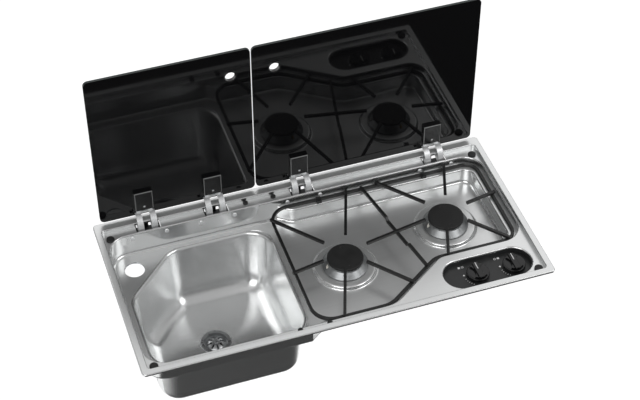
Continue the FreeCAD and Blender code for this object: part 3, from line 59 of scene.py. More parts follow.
def linear(colour):
    """Turns an sRGB hex colour into linear red, green, blue and a full alpha.

    The numbers are those of the sRGB curve. A colour property is linear already.
    """
    if not isinstance(colour, str):
        return tuple(colour)
    channels = [int(colour[place:place + 2], 16) / 255 for place in (1, 3, 5)]
    low = [value / 12.92 for value in channels]
    high = [((value + 0.055) / 1.055) ** 2.4 for value in channels]
    return tuple(a if value <= 0.04045 else b for value, a, b in zip(channels, low, high)) + (1.0,)


def tone(name, description, colour):
    """A colour that a user may change, with its default as sRGB hex."""
    return bpy.props.FloatVectorProperty(
        name=name, description=description, default=linear(colour),
        size=4, min=0.0, max=1.0, subtype="COLOR")


class Colours(bpy.types.PropertyGroup):
    """Colours that differ from one order to the next."""

    glass: tone("Glass", "Face of the lids", "#0B0B0C")
    glass_edge: tone("Glass edge", "Ground edge of the lids", "#2B3230")
    knob: tone("Knob", "Knobs where the plastic is thickest", "#0B0B0C")
    knob_flow: tone("Knob flow", "Paler flow lines in the knobs", "#131314")
    panel: tone("Panel", "Control panel in its darker clouds", "#1F2021")
    panel_cloud: tone("Panel cloud", "Control panel in its paler clouds", "#282929")
    ink: tone("Ink", "Print on the controls", "#F4F4F4")
    ink_thin: tone("Thin ink", "Print where the pad lifted", "#D4D4D4")
    floor: tone("Floor", "Paint of the floor", "#E8E8E8")
    surround: tone("Surround", "Even light all round", "#B2B2B2")


class Print(bpy.types.PropertyGroup):
    """Sizes of the white print on the controls."""

    pointer_width: bpy.props.FloatProperty(
        name="Pointer width", description="Width of the white line on a knob",
        default=0.0013, unit="LENGTH")
    pointer_length: bpy.props.FloatProperty(
        name="Pointer length", description="Length of the white line on a knob",
        default=0.0145, unit="LENGTH")
    sign_size: bpy.props.FloatProperty(
        name="Sign size", description="Side of the squares that tell the burners apart",
        default=0.0042, unit="LENGTH")
    dot_size: bpy.props.FloatProperty(
        name="Dot size", description="Diameter of the mark for off",
        default=0.0036, unit="LENGTH")
    scale_radius: bpy.props.FloatProperty(
        name="Scale radius", description="Radius of the ring of marks round a knob",
        default=0.0236, unit="LENGTH")


class Stage(bpy.types.PropertyGroup):
    """Camera and floor."""

    lens: bpy.props.FloatProperty(
        name="Lens", description="Focal length on a 36 mm frame, in millimetres", default=93.28)
    camera_place: bpy.props.FloatVectorProperty(
        name="Camera place", description="Where the camera stands",
        default=(-0.6645, -1.9618, 2.1753), subtype="TRANSLATION", unit="LENGTH")
    camera_aim: bpy.props.FloatVectorProperty(
        name="Camera aim", description="Direction that the camera looks along",
        default=(0.22733, 0.67347, -0.70339), subtype="DIRECTION")
    floor_drop: bpy.props.FloatProperty(
        name="Floor drop", description="Height of the worktop above the floor",
        default=0.9, unit="LENGTH")


CLASSES = [Colours, Print, Stage]


def listed(item):
    """Adds a class to those that are registered, in the order that the operators run in."""
    CLASSES.append(item)
    return item


def colours():
    """The colours that the user has set."""
    return bpy.context.scene.hob_sink_colours


# Materials

# Most of a noise pattern lies between these two values, so a finish is spread over them
PATTERN_LOW = 0.3
PATTERN_HIGH = 0.7
# Where a ramp from one surface to another starts and ends
BLEND_LOW = 0.1
BLEND_HIGH = 0.9


def add(tree, kind, links=None, **settings):
    """Adds one shader node; links gives its sockets a constant or another node's output."""
    made = tree.nodes.new("ShaderNode" + kind)
    for name, value in settings.items():
        setattr(made, name, value)
    for socket, value in (links or {}).items():
        if isinstance(value, bpy.types.NodeSocket):
            tree.links.new(value, made.inputs[socket])
        else:
            made.inputs[socket].default_value = value
    return made


def spaced(place, size_mm, **sockets):
    """Sockets of a pattern with this real spacing, on the part's own coordinates in metres."""
    return {"Vector": place.outputs["Object"], "Scale": METRE_IN_MM / size_mm, **sockets}


def start_material(name, metallic, roughness, **sockets):
    """A new material with its shader's plain values set, its tree and its place on the part."""
    material = bpy.data.materials.new(name)
    material.use_nodes = True
    tree = material.node_tree
    shader = tree.nodes["Principled BSDF"]
    shader.inputs["Metallic"].default_value = metallic
    shader.inputs["Roughness"].default_value = roughness
    for socket, value in sockets.items():
        shader.inputs[socket.replace("_", " ")].default_value = value
    return material, tree, shader, add(tree, "TexCoord")


def link_colour(tree, shader, pattern, dark, light, low=PATTERN_LOW, high=PATTERN_HIGH):
    """Colours the shader between two tones by a pattern."""
    ramp = add(tree, "ValToRGB", {0: pattern})
    for element, position, colour in zip(ramp.color_ramp.elements, (low, high), (dark, light)):
        element.position = position
        element.color = linear(colour)
    tree.links.new(ramp.outputs[0], shader.inputs["Base Color"])


def link_wear(tree, shader, rough, relief):
    """Lays roughness and relief on the shader by patterns.

    Each is a pattern and two values: the least and most roughness, and the real depth of the relief
    in millimetres with its strength.
    """
    pattern, low, high = rough
    spread = add(tree, "MapRange", {"Value": pattern, "From Min": PATTERN_LOW,
                                    "From Max": PATTERN_HIGH, "To Min": low, "To Max": high})
    tree.links.new(spread.outputs[0], shader.inputs["Roughness"])
    pattern, depth_mm, strength = relief
    raised = add(tree, "Bump", {"Height": pattern, "Distance": depth_mm * MM, "Strength": strength})
    tree.links.new(raised.outputs[0], shader.inputs["Normal"])


# Real ground lines are about 0.2 mm apart; they are drawn coarser so that they show
GROUND_LINE_MM = 3.0
SHEET_CLOUD_MM = 90.0
SHEET_SPREAD = 0.006
STREAKS_ALONG = (0.02, 1.0, 1.0)
STREAKS_UPRIGHT = (1.0, 1.0, 0.04)
# How far a normal points up or down on a wall and on a flat
WALL_TILT = 0.75
FLAT_TILT = 0.98
# Metallic and roughness of the flats
SATIN_FLAT = (0.78, 0.33)


def link_steel(tree, shader, place, share, streaks, tones, bare, full):
    """Ground lines and slow clouds on sheet.

    Metallic and roughness go from bare to full as the share goes from 0 to 1.
    """
    streaked = add(tree, "Mapping", {"Vector": place.outputs["Object"], "Scale": streaks})
    lines = add(tree, "TexNoise",
                spaced(place, GROUND_LINE_MM, Vector=streaked.outputs[0], Detail=2.0))
    clouds = add(tree, "TexNoise", spaced(place, SHEET_CLOUD_MM, Detail=1.0))
    both = add(tree, "Math", {0: lines.outputs[0], 1: clouds.outputs[0]}, operation="ADD")
    grain = add(tree, "Math", {0: both.outputs[0], 1: 0.5}, operation="MULTIPLY").outputs[0]
    link_colour(tree, shader, grain, *tones)
    metal = add(tree, "MapRange", {"Value": share, "To Min": bare[0], "To Max": full[0]})
    tree.links.new(metal.outputs[0], shader.inputs["Metallic"])
    smooth = add(tree, "MapRange", {"Value": share, "To Min": bare[1], "To Max": full[1]})
    spread = add(tree, "MapRange", {"Value": grain, "From Min": PATTERN_LOW,
                                    "From Max": PATTERN_HIGH, "To Min": -SHEET_SPREAD,
                                    "To Max": SHEET_SPREAD})
    rough = add(tree, "Math", {0: smooth.outputs[0], 1: spread.outputs[0]}, operation="ADD")
    tree.links.new(rough.outputs[0], shader.inputs["Roughness"])


def link_pressed(tree, shader, place, wall):
    """Satin sheet whose flats keep the ground lines, brighter on what stands upright."""
    facing = add(tree, "SeparateXYZ", {0: place.outputs["Normal"]})
    level = add(tree, "Math", {0: facing.outputs["Z"]}, operation="ABSOLUTE")
    flat = add(tree, "MapRange", {"Value": level.outputs[0], "From Min": WALL_TILT,
                                  "From Max": FLAT_TILT})
    link_steel(tree, shader, place, flat.outputs[0], STREAKS_ALONG, ("#DEDFDF", "#E3E4E4"),
               wall, SATIN_FLAT)


def satin_steel():
    """Stainless sheet, satin ground along its length and then pressed.

    The flats scatter the light softly; the drawn walls are rubbed bright by the tool.
    """
    material, tree, shader, place = start_material("stainless_sheet_satin_pressed", 0.8, 0.25)
    link_pressed(tree, shader, place, (0.96, 0.17))
    return material


def floor_steel():
    """Stainless sheet, satin ground and shallow pressed.

    Soft all over, with pale edges round the raised seats.
    """
    material, tree, shader, place = start_material("stainless_sheet_satin_shallow", 0.8, 0.3)
    link_pressed(tree, shader, place, (0.92, 0.22))
    return material


def bowl_steel():
    """Stainless sheet, deep drawn and brushed round its walls.

    The brushing draws the light out into upright streaks.
    """
    material, tree, shader, place = start_material(
        "stainless_sheet_deep_drawn", 0.9, 0.25, Anisotropic=0.8, Anisotropic_Rotation=0.25)
    round_walls = add(tree, "Tangent", direction_type="RADIAL", axis="Z")
    tree.links.new(round_walls.outputs[0], shader.inputs["Tangent"])
    # What faces the middle of the bowl's mouth is its inside
    arm = add(tree, "VectorMath", {0: place.outputs["Object"], 1: middle_of("sink_bowl")},
              operation="SUBTRACT")
    away = add(tree, "VectorMath", {0: arm.outputs[0], 1: place.outputs["Normal"]},
               operation="DOT_PRODUCT")
    inside = add(tree, "Math", {0: away.outputs["Value"], 1: 0.0}, operation="LESS_THAN")
    link_steel(tree, shader, place, inside.outputs[0], STREAKS_UPRIGHT, ("#E5E6E6", "#EAEBEB"),
               (0.98, 0.24), (0.95, 0.26))
    return material


def bright_steel():
    """Stainless strip, bright rolled: pale, with a soft mirror that breaks up in rolling lines."""
    material, tree, shader, place = start_material("stainless_strip_bright_rolled", 0.62, 0.3)
    rolled = add(tree, "Mapping", {"Vector": place.outputs["Object"], "Scale": (1.0, 0.05, 1.0)})
    # Rolling lines are drawn coarser than the real ones, so that they show
    lines = add(tree, "TexNoise", spaced(place, 0.8, Vector=rolled.outputs[0], Detail=2.0)).outputs[0]
    link_colour(tree, shader, lines, "#E0E1E2", "#ECEDEE")
    link_wear(tree, shader, (lines, 0.26, 0.36), (lines, 0.02, 0.15))
    return material


def dull_steel():
    """Stainless strip, pressed and left unpolished: grey, with soft dark reflections in its folds."""
    material, tree, shader, place = start_material("stainless_strip_unpolished", 1.0, 0.3)
    cloud = add(tree, "TexNoise", spaced(place, 6.0, Detail=2.0)).outputs[0]
    link_colour(tree, shader, cloud, "#A2A3A4", "#AEB0B1")
    link_wear(tree, shader, (cloud, 0.26, 0.34), (cloud, 0.02, 0.1))
    return material


def zinc_steel():
    """Mild steel, zinc plated: pale blue-grey with a fine cloudy spangle."""
    material, tree, shader, place = start_material("mild_steel_zinc_plated", 1.0, 0.35)
    spangle = add(tree, "TexVoronoi", spaced(place, 2.5)).outputs["Distance"]
    mist = add(tree, "TexNoise", spaced(place, 9.0, Detail=4.0)).outputs[0]
    link_colour(tree, shader, mist, "#9EA3A6", "#C3C7C9")
    link_wear(tree, shader, (spangle, 0.28, 0.45), (mist, 0.02, 0.2))
    return material


def black_steel():
    """Steel strip, black phosphated and oiled: charcoal with a cloudy dull shine."""
    material, tree, shader, place = start_material("steel_strip_black_phosphated", 0.6, 0.45)
    cloud = add(tree, "TexNoise", spaced(place, 4.0, Detail=4.0)).outputs[0]
    link_colour(tree, shader, cloud, "#1C1C1D", "#303031")
    link_wear(tree, shader, (cloud, 0.38, 0.55), (cloud, 0.02, 0.2))
    return material


GROUND_EDGE_ROUGHNESS = 0.3


def lid_glass():
    """Toughened glass, back printed black and polished: deep black with a clean reflection.

    The ground edge is paler and scatters the light, and handling leaves a faint film.
    """
    material, tree, shader, place = start_material(
        "toughened_glass_black_polished", 0.0, 0.04, IOR=1.5, Specular_IOR_Level=0.36)
    film = add(tree, "TexNoise", spaced(place, 60.0, Detail=5.0))
    facing = add(tree, "SeparateXYZ", {0: place.outputs["Normal"]})
    across = add(tree, "Math", {0: facing.outputs["Y"]}, operation="ABSOLUTE")
    edge = add(tree, "MapRange", {"Value": across.outputs[0], "From Min": 0.95, "From Max": 0.6})
    link_colour(tree, shader, edge.outputs[0], colours().glass, colours().glass_edge,
                BLEND_LOW, BLEND_HIGH)
    smear = add(tree, "MapRange", {"Value": film.outputs[0], "From Min": 0.35, "From Max": 0.75,
                                   "To Min": 0.02, "To Max": 0.06})
    ground = add(tree, "Math", {0: edge.outputs[0], 1: GROUND_EDGE_ROUGHNESS, 2: smear.outputs[0]},
                 operation="MULTIPLY_ADD")
    tree.links.new(ground.outputs[0], shader.inputs["Roughness"])
    return material


def moulded_black():
    """Black heat-stable plastic, moulded against an etched tool: an even, fine leathery grain."""
    material, tree, shader, place = start_material("polyamide_black_moulded", 0.0, 0.38, IOR=1.5)
    # The etched grain is drawn coarser than the real one, so that it shows
    grain = add(tree, "TexVoronoi", spaced(place, 0.7)).outputs["Distance"]
    wear = add(tree, "TexNoise", spaced(place, 14.0, Detail=3.0)).outputs[0]
    link_colour(tree, shader, wear, "#131314", "#1E1E1F")
    link_wear(tree, shader, (wear, 0.32, 0.46), (grain, 0.03, 0.25))
    return material


def gloss_black():
    """Black plastic, moulded in a polished tool: a slow ripple, and a painted highlight in pale grey
    on the rounded edges.
    """
    material, tree, shader, place = start_material("abs_black_polished", 0.0, 0.16, IOR=1.5)
    ripple = add(tree, "TexNoise", spaced(place, 18.0, Detail=2.0)).outputs[0]
    # A normal that lies along none of the three axes belongs to a rounded edge
    facing = add(tree, "VectorMath", {0: place.outputs["Normal"]}, operation="ABSOLUTE")
    sides = add(tree, "SeparateXYZ", {0: facing.outputs[0]})
    wider = add(tree, "Math", {0: sides.outputs["X"], 1: sides.outputs["Y"]}, operation="MAXIMUM")
    widest = add(tree, "Math", {0: wider.outputs[0], 1: sides.outputs["Z"]}, operation="MAXIMUM")
    # The rounded edges are coloured pale grey: a painted highlight
    painted_edge_highlight = add(tree, "MapRange", {"Value": widest.outputs[0], "From Min": 0.99, "From Max": 0.85})
    link_colour(tree, shader, painted_edge_highlight.outputs[0], "#0E0E0F", "#6E6F6F", BLEND_LOW, BLEND_HIGH)
    link_wear(tree, shader, (ripple, 0.12, 0.24), (ripple, 0.05, 0.1))
    return material


def knob_black():
    """Black thermoset, moulded in a bright tool: deep black with a clear highlight on every edge."""
    material, tree, shader, place = start_material(
        "phenolic_black_bright_moulded", 0.0, 0.2, IOR=1.58, Specular_IOR_Level=0.3)
    flow = add(tree, "TexNoise", spaced(place, 9.0, Detail=3.0)).outputs[0]
    link_colour(tree, shader, flow, colours().knob, colours().knob_flow)
    link_wear(tree, shader, (flow, 0.14, 0.24), (flow, 0.03, 0.12))
    return material


def panel_black():
    """Dark polycarbonate panel, moulded with a fine matt spark finish: charcoal in the light."""
    material, tree, shader, place = start_material(
        "polycarbonate_charcoal_spark", 0.0, 0.42, IOR=1.55)
    # The spark finish is drawn coarser than the real one, so that it shows
    spark = add(tree, "TexNoise", spaced(place, 0.6, Detail=4.0)).outputs[0]
    cloud = add(tree, "TexNoise", spaced(place, 30.0, Detail=2.0)).outputs[0]
    link_colour(tree, shader, cloud, colours().panel, colours().panel_cloud)
    link_wear(tree, shader, (cloud, 0.38, 0.5), (spark, 0.03, 0.25))
    return material


def enamel_wire():
    """Steel bar, black enamelled and fired: a dull black coat, a soft highlight, a few pinholes."""
    material, tree, shader, place = start_material("steel_wire_black_enamel", 0.0, 0.4, IOR=1.5)
    orange_peel = add(tree, "TexNoise", spaced(place, 2.2, Detail=3.0)).outputs[0]
    pinholes = add(tree, "TexVoronoi", spaced(place, 6.0)).outputs["Distance"]
    link_colour(tree, shader, pinholes, "#0D0D0D", "#1B1B1B", 0.02, 0.3)
    link_wear(tree, shader, (orange_peel, 0.3, 0.48), (orange_peel, 0.06, 0.3))
    return material


def enamel_cap():
    """Burner cap, matt black vitreous enamel: very dark, with a dry tooth that spreads the light."""
    material, tree, shader, place = start_material(
        "steel_cap_matt_vitreous_enamel", 0.0, 0.6, IOR=1.5)
    # The tooth is drawn coarser than the real one, so that it shows
    tooth = add(tree, "TexNoise", spaced(place, 1.0, Detail=5.0)).outputs[0]
    heat = add(tree, "TexNoise", spaced(place, 22.0, Detail=2.0)).outputs[0]
    link_colour(tree, shader, heat, "#171717", "#1F1F1F")
    link_wear(tree, shader, (heat, 0.52, 0.68), (tooth, 0.04, 0.35))
    return material


def cast_aluminium():
    """Aluminium, pressure die cast and machined on the seats: soft grey with small tool marks."""
    material, tree, shader, place = start_material("aluminium_die_cast_turned", 1.0, 0.38)
    cloud = add(tree, "TexNoise", spaced(place, 8.0, Detail=4.0)).outputs[0]
    # Tool marks are drawn coarser than the real ones, so that they show
    turned = add(tree, "TexNoise", spaced(place, 1.5, Detail=3.0)).outputs[0]
    link_colour(tree, shader, cloud, "#8E9091", "#A6A8A9")
    link_wear(tree, shader, (cloud, 0.3, 0.45), (turned, 0.03, 0.2))
    return material


def brass():
    """Brass, turned from bar and drawn as pipe: warm yellow that dulls to brown in patches."""
    material, tree, shader, place = start_material("brass_turned_bar", 1.0, 0.28)
    # Tool marks are drawn coarser than the real ones, so that they show
    turned = add(tree, "TexNoise", spaced(place, 1.4, Detail=3.0)).outputs[0]
    tarnish = add(tree, "TexNoise", spaced(place, 16.0, Detail=4.0)).outputs[0]
    link_colour(tree, shader, tarnish, "#9C7A3C", "#D2AE63")
    link_wear(tree, shader, (tarnish, 0.22, 0.42), (turned, 0.02, 0.2))
    return material


def rubber():
    """Black EPDM rubber, compression moulded: dark and dry, with a faint bloom."""
    material, tree, shader, place = start_material("epdm_rubber_moulded", 0.0, 0.65, IOR=1.5)
    bloom = add(tree, "TexNoise", spaced(place, 5.0, Detail=4.0)).outputs[0]
    link_colour(tree, shader, bloom, "#141414", "#222222")
    link_wear(tree, shader, (bloom, 0.5, 0.75), (bloom, 0.05, 0.25))
    return material


def ceramic():
    """Alumina ceramic, fired and glazed: warm white with a thin wet gloss."""
    material, tree, shader, place = start_material("alumina_ceramic_glazed", 0.0, 0.22, IOR=1.6)
    glaze = add(tree, "TexNoise", spaced(place, 3.0, Detail=3.0)).outputs[0]
    link_colour(tree, shader, glaze, "#D6D2C8", "#EFECE4")
    link_wear(tree, shader, (glaze, 0.15, 0.3), (glaze, 0.03, 0.15))
    return material


def white_ink():
    """White ink, pad printed: flat white, a little thin where the pad lifted."""
    material, tree, shader, place = start_material("ink_white_pad_printed", 0.0, 0.5, IOR=1.5)
    # The thin spots are drawn coarser than the real ones, so that they show
    thin = add(tree, "TexNoise", spaced(place, 0.8, Detail=3.0)).outputs[0]
    link_colour(tree, shader, thin, colours().ink_thin, colours().ink)
    link_wear(tree, shader, (thin, 0.42, 0.58), (thin, 0.01, 0.2))
    return material


made_materials = {}


def finish(maker):
    """One shared material per finish, made the first time a piece asks for it."""
    if maker not in made_materials:
        made_materials[maker] = maker()
    return made_materials[maker]


# Solids from the frame

def nodes_like(*words):
    """Names of the nodes that hold any of these words."""
    return [name for name in sorted(NODES) if any(word in name for word in words)]


def middle_of(node):
    """Centre of a node in plan, and its top."""
    low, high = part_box(node)
    return (low.x + high.x) / 2, (low.y + high.y) / 2, high.z


def dress(names, maker):
    """Gives carried-over nodes their finish."""
    for name in names:
        for slot in NODES[name].material_slots:
            slot.link = "OBJECT"
            slot.material = finish(maker)


@listed
class DressSteel(bpy.types.Operator):
    """Gives the pressed top and the bowl their steel"""

    bl_idname = "hobsink.dress_steel"
    bl_label = "Dress the steel"

    def execute(self, context):
        dress(nodes_like("top_plate", "_wall"), satin_steel)
        dress(["sink_deck", "hob_floor"], floor_steel)
        dress(["sink_bowl"], bowl_steel)
        dress(["tap_hole_plate"], zinc_steel)
        return {"FINISHED"}


@listed
class DressWaste(bpy.types.Operator):
    """Gives the waste fitting its metal, plastic and rubber"""

    bl_idname = "hobsink.dress_waste"
    bl_label = "Dress the waste"

    def execute(self, context):
        dress(["waste_flange", "waste_strainer", "waste_screw"], dull_steel)
        dress(["waste_nut"], zinc_steel)
        dress(["waste_body", "waste_spigot"], moulded_black)
        dress(["waste_gasket"], rubber)
        return {"FINISHED"}


@listed
class DressLids(bpy.types.Operator):
    """Gives both lids their glass and the hinges their steel and covers"""

    bl_idname = "hobsink.dress_lids"
    bl_label = "Dress the lids and hinges"

    def execute(self, context):
        dress(nodes_like("lid_glass"), lid_glass)
        dress(nodes_like("finger_ring", "hinge_cover"), gloss_black)
        dress(nodes_like("hinge_leaf", "cover_screws", "hinge_bracket_screws"), bright_steel)
        dress(["hinge_brackets"], black_steel)
        dress(["hinge_pins"], dull_steel)
        dress(nodes_like("hinge_pads", "bumpers", "rim_seal"), rubber)
        return {"FINISHED"}


@listed
class DressBurners(bpy.types.Operator):
    """Gives the burners and the pan support their castings and enamel"""

    bl_idname = "hobsink.dress_burners"
    bl_label = "Dress the burners"

    def execute(self, context):
        dress(nodes_like("burner_cap"), enamel_cap)
        dress(nodes_like("burner_body", "burner_spreader"), cast_aluminium)
        dress(nodes_like("support_frame", "support_fingers", "support_divider"), enamel_wire)
        dress(["pan_support_clips"], moulded_black)
        dress(["ignition_electrodes"], ceramic)
        dress(["thermocouples"], brass)
        return {"FINISHED"}


@listed
class DressControls(bpy.types.Operator):
    """Gives the control panel, knobs and gas parts their plastic and brass"""

    bl_idname = "hobsink.dress_controls"
    bl_label = "Dress the controls"

    def execute(self, context):
        dress(["control_panel"], panel_black)
        dress(KNOBS, knob_black)
        dress(nodes_like("gas_", "plunger", "spindle"), brass)
        dress(["tap_bracket", "tap_screws"], zinc_steel)
        return {"FINISHED"}


# Print on the controls, in metres

PANEL_TOP = -0.0181
INK_HEIGHT = 0.00012
INK_SINK = 0.00005
# Signs and dot, across and back from the middle of a knob
PANEL_SIGNS = ((-0.0268, 0.026), (-0.0202, 0.026))
OFF_DOT = (-0.0247, 0.006)
# Line of an open sign, as a share of its side
SIGN_STROKE = 0.2
# Marks of the scale, in degrees round a knob
SCALE_MARKS = (188, 199, 210, 221, 232)
MARK_LENGTH = 0.0016
MARK_WIDTH = 0.0009
# Where a pointer ends, as a share of the knob's radius
POINTER_END = 0.82
SQUARE = ((-1, -1), (1, -1), (1, 1), (-1, 1))
STROKE_END_STEPS = 6
DOT_STEPS = 24


def add_slab(shape, outline, low, high):
    """Adds a thin slab with this outline, counter-clockwise, between two heights."""
    lower = [shape.verts.new((x, y, low)) for x, y in outline]
    upper = [shape.verts.new((x, y, high)) for x, y in outline]
    shape.faces.new(list(reversed(lower)))
    shape.faces.new(upper)
    for index, vert in enumerate(lower):
        after = (index + 1) % len(lower)
        shape.faces.new((vert, lower[after], upper[after], upper[index]))


def around(centre, radius, angle):
    """Point at a distance from a centre, at an angle in degrees."""
    turn = math.radians(angle)
    return centre[0] + radius * math.cos(turn), centre[1] + radius * math.sin(turn)


def bar_outline(start, end, width):
    """Outline of a straight stroke with rounded ends."""
    heading = math.degrees(math.atan2(end[1] - start[1], end[0] - start[0]))
    return [around(centre, width / 2, heading + turn + step * 180 / STROKE_END_STEPS)
            for centre, turn in ((end, -90), (start, 90)) for step in range(STROKE_END_STEPS + 1)]


def dot_outline(centre, radius):
    """Outline of a dot."""
    return [around(centre, radius, step * 360 / DOT_STEPS) for step in range(DOT_STEPS)]


def square_outline(centre, side):
    """Outline of a square."""
    return [(centre[0] + x * side / 2, centre[1] + y * side / 2) for x, y in SQUARE]


def add_open_square(shape, centre, side, stroke, low, high):
    """Adds an open square drawn with four strokes."""
    corners = square_outline(centre, side - stroke)
    for corner, after in zip(corners, corners[1:] + corners[:1]):
        add_slab(shape, bar_outline(corner, after, stroke), low, high)


def make_piece(name, shape, body, maker):
    """Turns a built shape into a piece that moves with a body and takes a finish."""
    bmesh.ops.recalc_face_normals(shape, faces=shape.faces)
    mesh = bpy.data.meshes.new(name)
    shape.to_mesh(mesh)
    shape.free()
    piece = bpy.data.objects.new(name, mesh)
    bpy.context.scene.collection.objects.link(piece)
    mesh.materials.append(finish(maker))
    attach(piece, body)


@listed
class PrintPointers(bpy.types.Operator):
    """Prints the white line on each knob's grip"""

    bl_idname = "hobsink.print_pointers"
    bl_label = "Print the knob pointers"

    def execute(self, context):
        ink = context.scene.hob_sink_print
        for knob in KNOBS:
            x, y, top = middle_of(knob)
            end = y + (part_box(knob)[1].y - y) * POINTER_END
            shape = bmesh.new()
            outline = bar_outline((x, end - ink.pointer_length), (x, end), ink.pointer_width)
            add_slab(shape, outline, top - INK_SINK, top + INK_HEIGHT)
            make_piece(knob.replace("knob", "knob_pointer"), shape, knob, white_ink)
        return {"FINISHED"}


@listed
class PrintPanel(bpy.types.Operator):
    """Prints the burner signs, the dot for off and the scale beside each knob"""

    bl_idname = "hobsink.print_panel"
    bl_label = "Print the panel"

    def execute(self, context):
        ink = context.scene.hob_sink_print
        low, high = PANEL_TOP - INK_SINK, PANEL_TOP + INK_HEIGHT
        for number, knob in enumerate(KNOBS):
            x, y, _ = middle_of(knob)
            shape = bmesh.new()
            for place, (across, back) in enumerate(PANEL_SIGNS):
                centre = (x + across, y + back)
                if place == number:
                    add_slab(shape, square_outline(centre, ink.sign_size), low, high)
                else:
                    add_open_square(shape, centre, ink.sign_size, ink.sign_size * SIGN_STROKE,
                                    low, high)
            dot = dot_outline((x + OFF_DOT[0], y + OFF_DOT[1]), ink.dot_size / 2)
            add_slab(shape, dot, low, high)
            for mark in SCALE_MARKS:
                inner = around((x, y), ink.scale_radius, mark)
                outer = around((x, y), ink.scale_radius + MARK_LENGTH, mark)
                add_slab(shape, bar_outline(inner, outer, MARK_WIDTH), low, high)
            make_piece("panel_print_%d" % (number + 1), shape, UNIT, white_ink)
        return {"FINISHED"}


# Stage, in metres

# Softboxes: name, place, aim, width, depth, radiance
LAMPS = (
    ("back_softbox", (0.75, 2.2, 2.4), (0.0, 0.0, 0.0), 3.6, 1.8, 0.75),
    ("front_left_softbox", (-1.4, -1.8, 2.0), (-0.1, 0.0, 0.0), 2.0, 1.7, 2.7),
    ("front_right_softbox", (1.8, -1.3, 2.0), (-0.1, 0.0, 0.0), 1.7, 1.7, 2.3),
)
# Dark cards on the floor, seen only in reflections as painted dark reflections: place across and
# back, width, depth
FLAGS = (
    (-0.1, -1.2, 1.5, 2.6),
    (1.45, -1.6, 1.6, 2.0),
    (0.0, 1.4, 2.4, 1.8),
)
FLAG_LIFT = 0.02
PAINTED_REFLECTION_ROUGHNESS = 0.95
FLOOR_SIZE = 40.0
FLOOR_GLOW = 0.55
SENSOR_WIDTH_MM = 36.0
VIEW_DEPTH = 100.0


def make_floor(stage):
    """A wide pale floor well below the unit, as under a worktop.

    The camera and reflections see it a little brighter than it is lit, which makes it white.
    """
    bpy.ops.mesh.primitive_plane_add(size=FLOOR_SIZE, location=(0, 0, -stage.floor_drop))
    floor = bpy.context.object
    floor.name = "floor"
    material = bpy.data.materials.new("floor_white_paint")
    material.use_nodes = True
    tree = material.node_tree
    tree.nodes.clear()
    rays = add(tree, "LightPath").outputs
    seen = add(tree, "Math", {0: rays["Is Camera Ray"], 1: rays["Is Glossy Ray"]},
               operation="MAXIMUM")
    seen = add(tree, "Math", {0: seen.outputs[0], 1: rays["Is Transmission Ray"]},
               operation="MAXIMUM")
    lift = add(tree, "Math", {0: seen.outputs[0], 1: FLOOR_GLOW}, operation="MULTIPLY")
    glow = add(tree, "Emission", {"Strength": lift.outputs[0]})
    paint = add(tree, "BsdfDiffuse", {"Color": linear(colours().floor)})
    both = add(tree, "AddShader", {0: paint.outputs[0], 1: glow.outputs[0]})
    add(tree, "OutputMaterial", {"Surface": both.outputs[0]})
    floor.data.materials.append(material)


def make_flags(stage):
    """Black cards on the floor before and behind, hidden from the camera, from shadows and from
    diffuse light, so that they only paint dark reflections into the steel.
    """
    material = bpy.data.materials.new("painted_reflection_black")
    material.use_nodes = True
    shader = material.node_tree.nodes["Principled BSDF"]
    shader.inputs["Base Color"].default_value = linear("#343434")
    shader.inputs["Roughness"].default_value = PAINTED_REFLECTION_ROUGHNESS
    for number, (x, y, width, depth) in enumerate(FLAGS, 1):
        place = (x, y, FLAG_LIFT - stage.floor_drop)
        bpy.ops.mesh.primitive_plane_add(size=1.0, location=place)
        flag = bpy.context.object
        flag.name = "flag_%d" % number
        flag.scale = (width, depth, 1.0)
        # Seen in reflections only: each card is a painted dark reflection
        flag.visible_camera = False
        flag.visible_shadow = False
        flag.visible_diffuse = False
        flag.data.materials.append(material)


def make_lamp(name, place, aim, width, depth, radiance):
    """One rectangular softbox that faces its aim."""
    data = bpy.data.lights.new(name, "AREA")
    data.shape = "RECTANGLE"
    data.size = width
    data.size_y = depth
    data.energy = radiance * math.pi * width * depth
    set_up(name, data, place, Vector(aim) - Vector(place))


def make_camera(stage):
    """The camera at the photograph's viewing angle."""
    data = bpy.data.cameras.new("camera")
    data.lens = stage.lens
    data.sensor_width = SENSOR_WIDTH_MM
    data.clip_end = VIEW_DEPTH
    bpy.context.scene.camera = set_up("camera", data, stage.camera_place, Vector(stage.camera_aim))


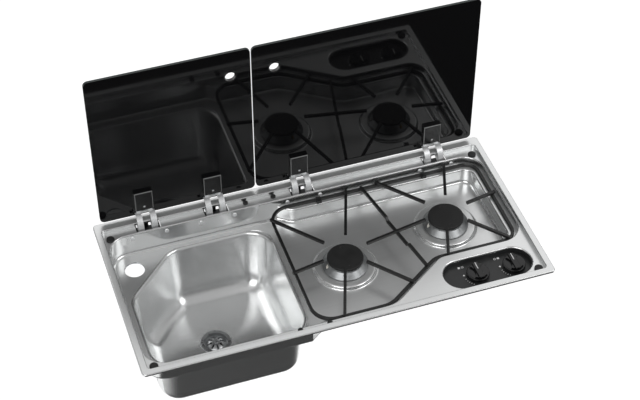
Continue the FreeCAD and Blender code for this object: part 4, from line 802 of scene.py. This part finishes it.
def set_up(name, data, place, heading):
    """Stands a lamp or camera at its place and points it along a heading."""
    stand = bpy.data.objects.new(name, data)
    stand.location = place
    stand.rotation_euler = heading.to_track_quat("-Z", "Y").to_euler()
    bpy.context.scene.collection.objects.link(stand)
    return stand


def make_world():
    """A dim even grey all round."""
    world = bpy.data.worlds.new("studio")
    world.use_nodes = True
    background = world.node_tree.nodes["Background"]
    background.inputs["Color"].default_value = linear(colours().surround)
    background.inputs["Strength"].default_value = 1.0
    bpy.context.scene.world = world


@listed
class SetStage(bpy.types.Operator):
    """Sets the floor, the lamps and the camera"""

    bl_idname = "hobsink.set_stage"
    bl_label = "Set the stage"

    def execute(self, context):
        stage = context.scene.hob_sink_stage
        make_floor(stage)
        make_flags(stage)
        for lamp in LAMPS:
            make_lamp(*lamp)
        make_camera(stage)
        make_world()
        context.scene.view_settings.view_transform = "Standard"
        return {"FINISHED"}


# Add-on

@listed
class HobSinkPanel(bpy.types.Panel):
    """Shows the settings, and the steps in the order that they run"""

    bl_idname = "HOBSINK_PT_panel"
    bl_label = "Hob and sink"
    bl_space_type = "VIEW_3D"
    bl_region_type = "UI"
    bl_category = "Hob and sink"

    def draw(self, context):
        scene = context.scene
        for group in (scene.hob_sink_colours, scene.hob_sink_print, scene.hob_sink_stage):
            for name in type(group).__annotations__:
                self.layout.prop(group, name)
        for step in steps():
            self.layout.operator(step.bl_idname)


def steps():
    """The operators in running order."""
    return [item for item in CLASSES if issubclass(item, bpy.types.Operator)]


def register():
    for item in CLASSES:
        bpy.utils.register_class(item)
    bpy.types.Scene.hob_sink_colours = bpy.props.PointerProperty(type=Colours)
    bpy.types.Scene.hob_sink_print = bpy.props.PointerProperty(type=Print)
    bpy.types.Scene.hob_sink_stage = bpy.props.PointerProperty(type=Stage)


def unregister():
    del bpy.types.Scene.hob_sink_stage
    del bpy.types.Scene.hob_sink_print
    del bpy.types.Scene.hob_sink_colours
    for item in reversed(CLASSES):
        bpy.utils.unregister_class(item)


def main():
    register()
    for step in steps():
        group, name = step.bl_idname.split(".")
        getattr(getattr(bpy.ops, group), name)()


if __name__ == "__main__":
    main()
